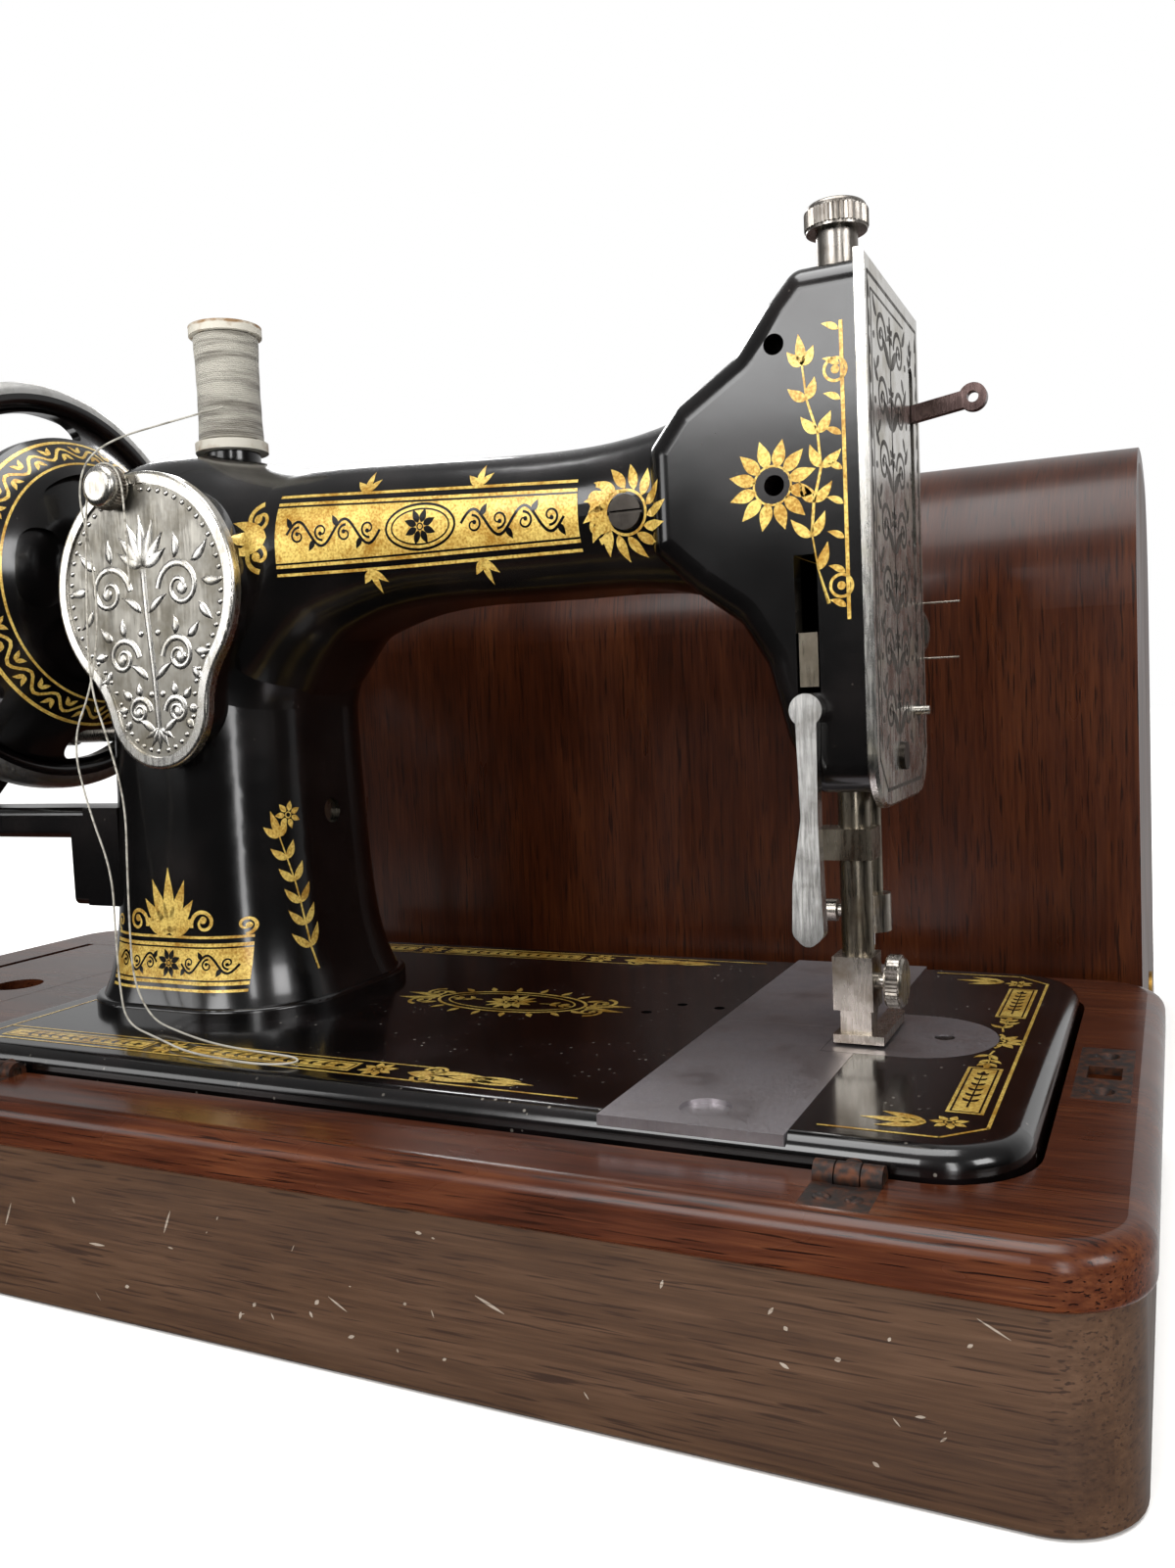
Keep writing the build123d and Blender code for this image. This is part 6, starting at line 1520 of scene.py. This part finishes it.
@dataclass
class ThreadWork:
    """The spool, its wound thread and the loose thread that trails from it."""

    finishes: Finishes
    spool_x: float = -46.0
    wound_low: float = 240.8
    wound_high: float = 274.0
    wound_radius: float = 9.7
    wound_flare: float = 0.34
    ply_radius: float = 0.34
    wound_turns: int = 54
    ripple: float = 0.05
    ripple_rate: float = 23.0
    core_inset: float = 0.1
    core_reach: float = 0.5
    thread_diameter: float = 0.6
    thread_length: float = 596.7
    route: tuple[Place, ...] = (
        (-40.6, -9.3, 250.0), (-52.7, -16.3, 246.5), (-61.5, -43.0, 235.5), (-65.0, -48.5, 223.0),
        (-62.5, -47.0, 204.0), (-61.5, -46.6, 184.0), (-66.0, -46.6, 163.0), (-76.5, -46.6, 146.0),
        (-71.0, -46.6, 124.0), (-63.5, -46.6, 106.0), (-63.5, -46.8, 88.0), (-60.5, -49.5, 71.0),
        (-52.0, -56.0, 61.5), (-31.3, -64.5, 61.0), (-12.0, -73.5, 61.0), (5.0, -76.0, 61.0),
        (14.0, -76.8, 61.0), (20.5, -75.5, 61.0), (23.8, -73.2, 61.0), (23.6, -70.6, 61.0),
        (20.5, -68.7, 61.0), (14.0, -67.8, 61.0), (1.0, -66.8, 61.0), (-14.0, -63.5, 61.0),
        (-32.0, -56.5, 61.0), (-46.0, -51.8, 62.3), (-55.0, -49.3, 72.5), (-57.5, -46.8, 90.0),
        (-57.0, -46.6, 107.0), (-55.5, -47.0, 127.0), (-59.5, -48.2, 146.0), (-65.0, -48.8, 163.0),
        (-64.0, -48.4, 190.0), (-60.95, -48.3, 225.0), (-54.0, -48.3, 229.0), (-47.05, -48.3, 225.0),
        (-46.7, -48.0, 210.0), (-48.5, -46.2, 192.0),
    )

    def trail(self) -> None:
        """Lay the loose thread as one smooth curve along its route."""
        curve = bpy.data.curves.new("loose_thread_line", "CURVE")
        curve.dimensions = "3D"
        spline = curve.splines.new("NURBS")
        spline.points.add(len(self.route) - 1)
        for point, place in zip(spline.points, self.route):
            point.co = (*(Vector(place) * MM), 1.0)
        spline.order_u = 3
        spline.use_endpoint_u = True
        spline.resolution_u = 10
        curve.bevel_depth = self.thread_diameter / 2 * MM
        curve.bevel_resolution = 3
        curve.use_fill_caps = True
        curve.materials.append(self.finishes.of("cotton"))
        made = put("loose_thread_trail", curve)
        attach(made, Body.MACHINE.value)
        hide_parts("loose_thread")
        LOG.info("laid the loose thread along %d points", len(self.route))

    def dress(self) -> None:
        """Paint the spool and wind its thread."""
        self.finishes.paint("spool", "spool")
        self.wind()

    def wind(self) -> None:
        """Wind close turns of thread on the spool, over a core."""
        sides, per_turn, core_sides = 6, 40, 48
        rows = self.wound_turns * per_turn
        points: list[Vector] = []
        for row in range(rows + 1):
            share = row / rows
            angle = 2 * math.pi * row / per_turn
            swell = self.wound_flare * (1 - math.sin(math.pi * share))
            swell += self.ripple * math.sin(self.ripple_rate * share)
            out = Vector((math.cos(angle), math.sin(angle), 0.0))
            height = self.wound_low + (self.wound_high - self.wound_low) * share
            middle = Vector((self.spool_x, 0.0, height)) + out * (self.wound_radius + swell)
            for i in range(sides):
                turn = 2 * math.pi * i / sides
                spot = middle + out * (self.ply_radius * math.cos(turn))
                points.append((spot + Vector((0, 0, self.ply_radius * math.sin(turn)))) * MM)
        faces = tube_faces(rows + 1, sides) + tube_faces(2, core_sides, len(points))
        radius = self.wound_radius - self.core_inset
        for level in (self.wound_low - self.core_reach, self.wound_high + self.core_reach):
            for i in range(core_sides):
                spot = polar((self.spool_x, 0.0), radius, 2 * math.pi * i / core_sides)
                points.append(Vector((*spot, level)) * MM)
        made = make_piece("spool_wound_thread", points, faces, self.finishes.of("cotton"), Body.REEL)
        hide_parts("spool_thread")


@dataclass
class Studio:
    """The floor, lights and camera, with the lamps' places and sizes in metres."""

    finishes: Finishes
    eye: Place = (232.4, -326.2, 151.7)
    lens: float = 28.54
    turn: Place = (0.076, 0.442, -0.029)
    floor_half: float = 6.0
    room: float = 0.02
    overhead: float = 0.26
    behind: float = 0.7
    wash_power: float = 3.3
    lamps: tuple[tuple[str, Place, Place, Point, float], ...] = (
        ("window", (-0.28, -1.30, 0.80), (0.05, 0.0, 0.18), (0.60, 0.60), 8.0),
        ("top", (0.05, -0.10, 1.25), (0.0, 0.05, 0.10), (0.80, 0.80), 10.0),
        ("side", (1.10, -0.45, 0.60), (0.10, 0.0, 0.14), (0.40, 0.40), 4.0),
        ("left", (-0.95, -0.95, 0.42), (-0.05, 0.0, 0.15), (0.45, 0.45), 2.0),
        ("rear", (-0.85, 1.00, 0.90), (0.0, 0.0, 0.20), (0.50, 0.30), 5.0),
        ("strip", (0.74, -1.16, 0.42), (-0.05, 0.0, 0.15), (0.16, 0.90), 3.5),
        ("card", (-0.05, -0.75, 0.10), (0.15, -0.03, 0.12), (0.05, 0.30), 0.05),
    )
    card_nodes: tuple[str, ...] = (
        "presser_lifter", "presser_bar", "presser_bracket", "presser_foot",
        "needle_bar", "needle_clamp", "needle",
    )

    def camera(self) -> None:
        """Set the camera where the photograph was taken from."""
        data = bpy.data.cameras.new("photo_view")
        data.lens = self.lens
        data.sensor_width = 36.0
        data.clip_start = 0.01
        data.clip_end = 50.0
        turn = Vector(self.turn)
        swing = Matrix.Rotation(turn.length, 3, turn.normalized())
        level = Matrix(((1, 0, 0), (0, 0, -1), (0, 1, 0)))
        seen = swing @ level
        facing = Matrix((seen[0], -seen[1], -seen[2])).transposed()
        made = put("photo_view", data)
        made.matrix_world = Matrix.Translation(Vector(self.eye) * MM) @ facing.to_4x4()
        bpy.context.scene.camera = made

    def light(self, name: str, place: Place, aim: Place, size: Point, power: float) -> Thing:
        """Hang a soft four-sided light.

        Args:
            name: The light's name.
            place: Where it hangs.
            aim: The point it faces.
            size: Its width and height.
            power: Its power in watts.

        Returns:
            The light.
        """
        data = bpy.data.lights.new(name, "AREA")
        data.shape = "RECTANGLE"
        data.size, data.size_y = size
        data.energy = power
        made = put(name, data)
        made.location = place
        made.rotation_mode = "QUATERNION"
        made.rotation_quaternion = (Vector(aim) - Vector(place)).to_track_quat("-Z", "Y")
        return made

    def keep_to(self, lamp: Thing, lit: Iterable[Thing]) -> None:
        """Let a lamp light some objects alone.

        Args:
            lamp: The lamp.
            lit: The objects that it lights.
        """
        group = bpy.data.collections.new(f"lit_by_{lamp.name}")
        for thing in lit:
            group.objects.link(thing)
        lamp.light_linking.receiver_collection = group

    def build(self) -> None:
        """Lay the floor, set the surround and hang the lights."""
        half = self.floor_half
        mesh = bpy.data.meshes.new("studio_floor")
        corners = [(-half, -half, 0), (half, -half, 0), (half, half, 0), (-half, half, 0)]
        mesh.from_pydata(corners, [], [(0, 1, 2, 3)])
        mesh.materials.append(self.finishes.of("floor"))
        floor = put("studio_floor", mesh)
        # The room's own floor was dark, so the pale one stays out of the gloss.
        floor.visible_glossy = False
        bpy.context.scene.view_settings.view_transform = "Standard"
        self.surround()
        hung = {lamp[0]: self.light(*lamp) for lamp in self.lamps}
        self.keep_to(hung["card"], [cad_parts[node] for node in self.card_nodes])
        self.keep_to(self.wash(), [floor])

    def wash(self) -> Thing:
        """Hang an even, very soft light for the floor.

        Returns:
            The light.
        """
        data = bpy.data.lights.new("wash", "SUN")
        data.energy = self.wash_power
        data.angle = math.radians(70)
        return put("wash", data)

    def surround(self) -> None:
        """Set a white backdrop to look at, and a dim room, lighter overhead and behind, to reflect."""
        world = bpy.data.worlds.new("studio")
        world.use_nodes = True
        tree = world.node_tree
        way = add(tree, "TexCoord").outputs["Generated"]
        parts = add(tree, "SeparateXYZ", {"Vector": way}).outputs
        rise = {"Value": parts["Z"], "From Min": 0.0, "From Max": 0.9, "To Max": self.overhead}
        depth = {"Value": parts["Y"], "From Min": 0.1, "From Max": 0.9, "To Max": self.behind}
        lit = {0: add(tree, "MapRange", rise), 1: add(tree, "MapRange", depth)}
        both = add(tree, "Math", lit, operation="MAXIMUM")
        dim = add(tree, "Math", {0: both, 1: self.room}, operation="ADD")
        looked_at = add(tree, "LightPath").outputs["Is Camera Ray"]
        seen = add(tree, "Mix", {"Factor": looked_at, "A": dim, "B": 1.0})
        tree.links.new(seen.outputs["Result"], tree.nodes["Background"].inputs["Strength"])
        tree.nodes["Background"].inputs["Color"].default_value = grey(1.0)
        bpy.context.scene.world = world


def main() -> None:
    """Build the scene in order: camera and thread, then the case, castings, plates and works."""
    logging.basicConfig(level=logging.INFO, format="%(name)s: %(message)s")
    finishes = Finishes()
    studio = Studio(finishes)
    studio.camera()
    thread = ThreadWork(finishes)
    thread.trail()
    for part in (Case(finishes), CastHead(finishes), Plates(finishes), Works(finishes), thread):
        part.dress()
    studio.build()


if __name__ == "__main__":
    main()
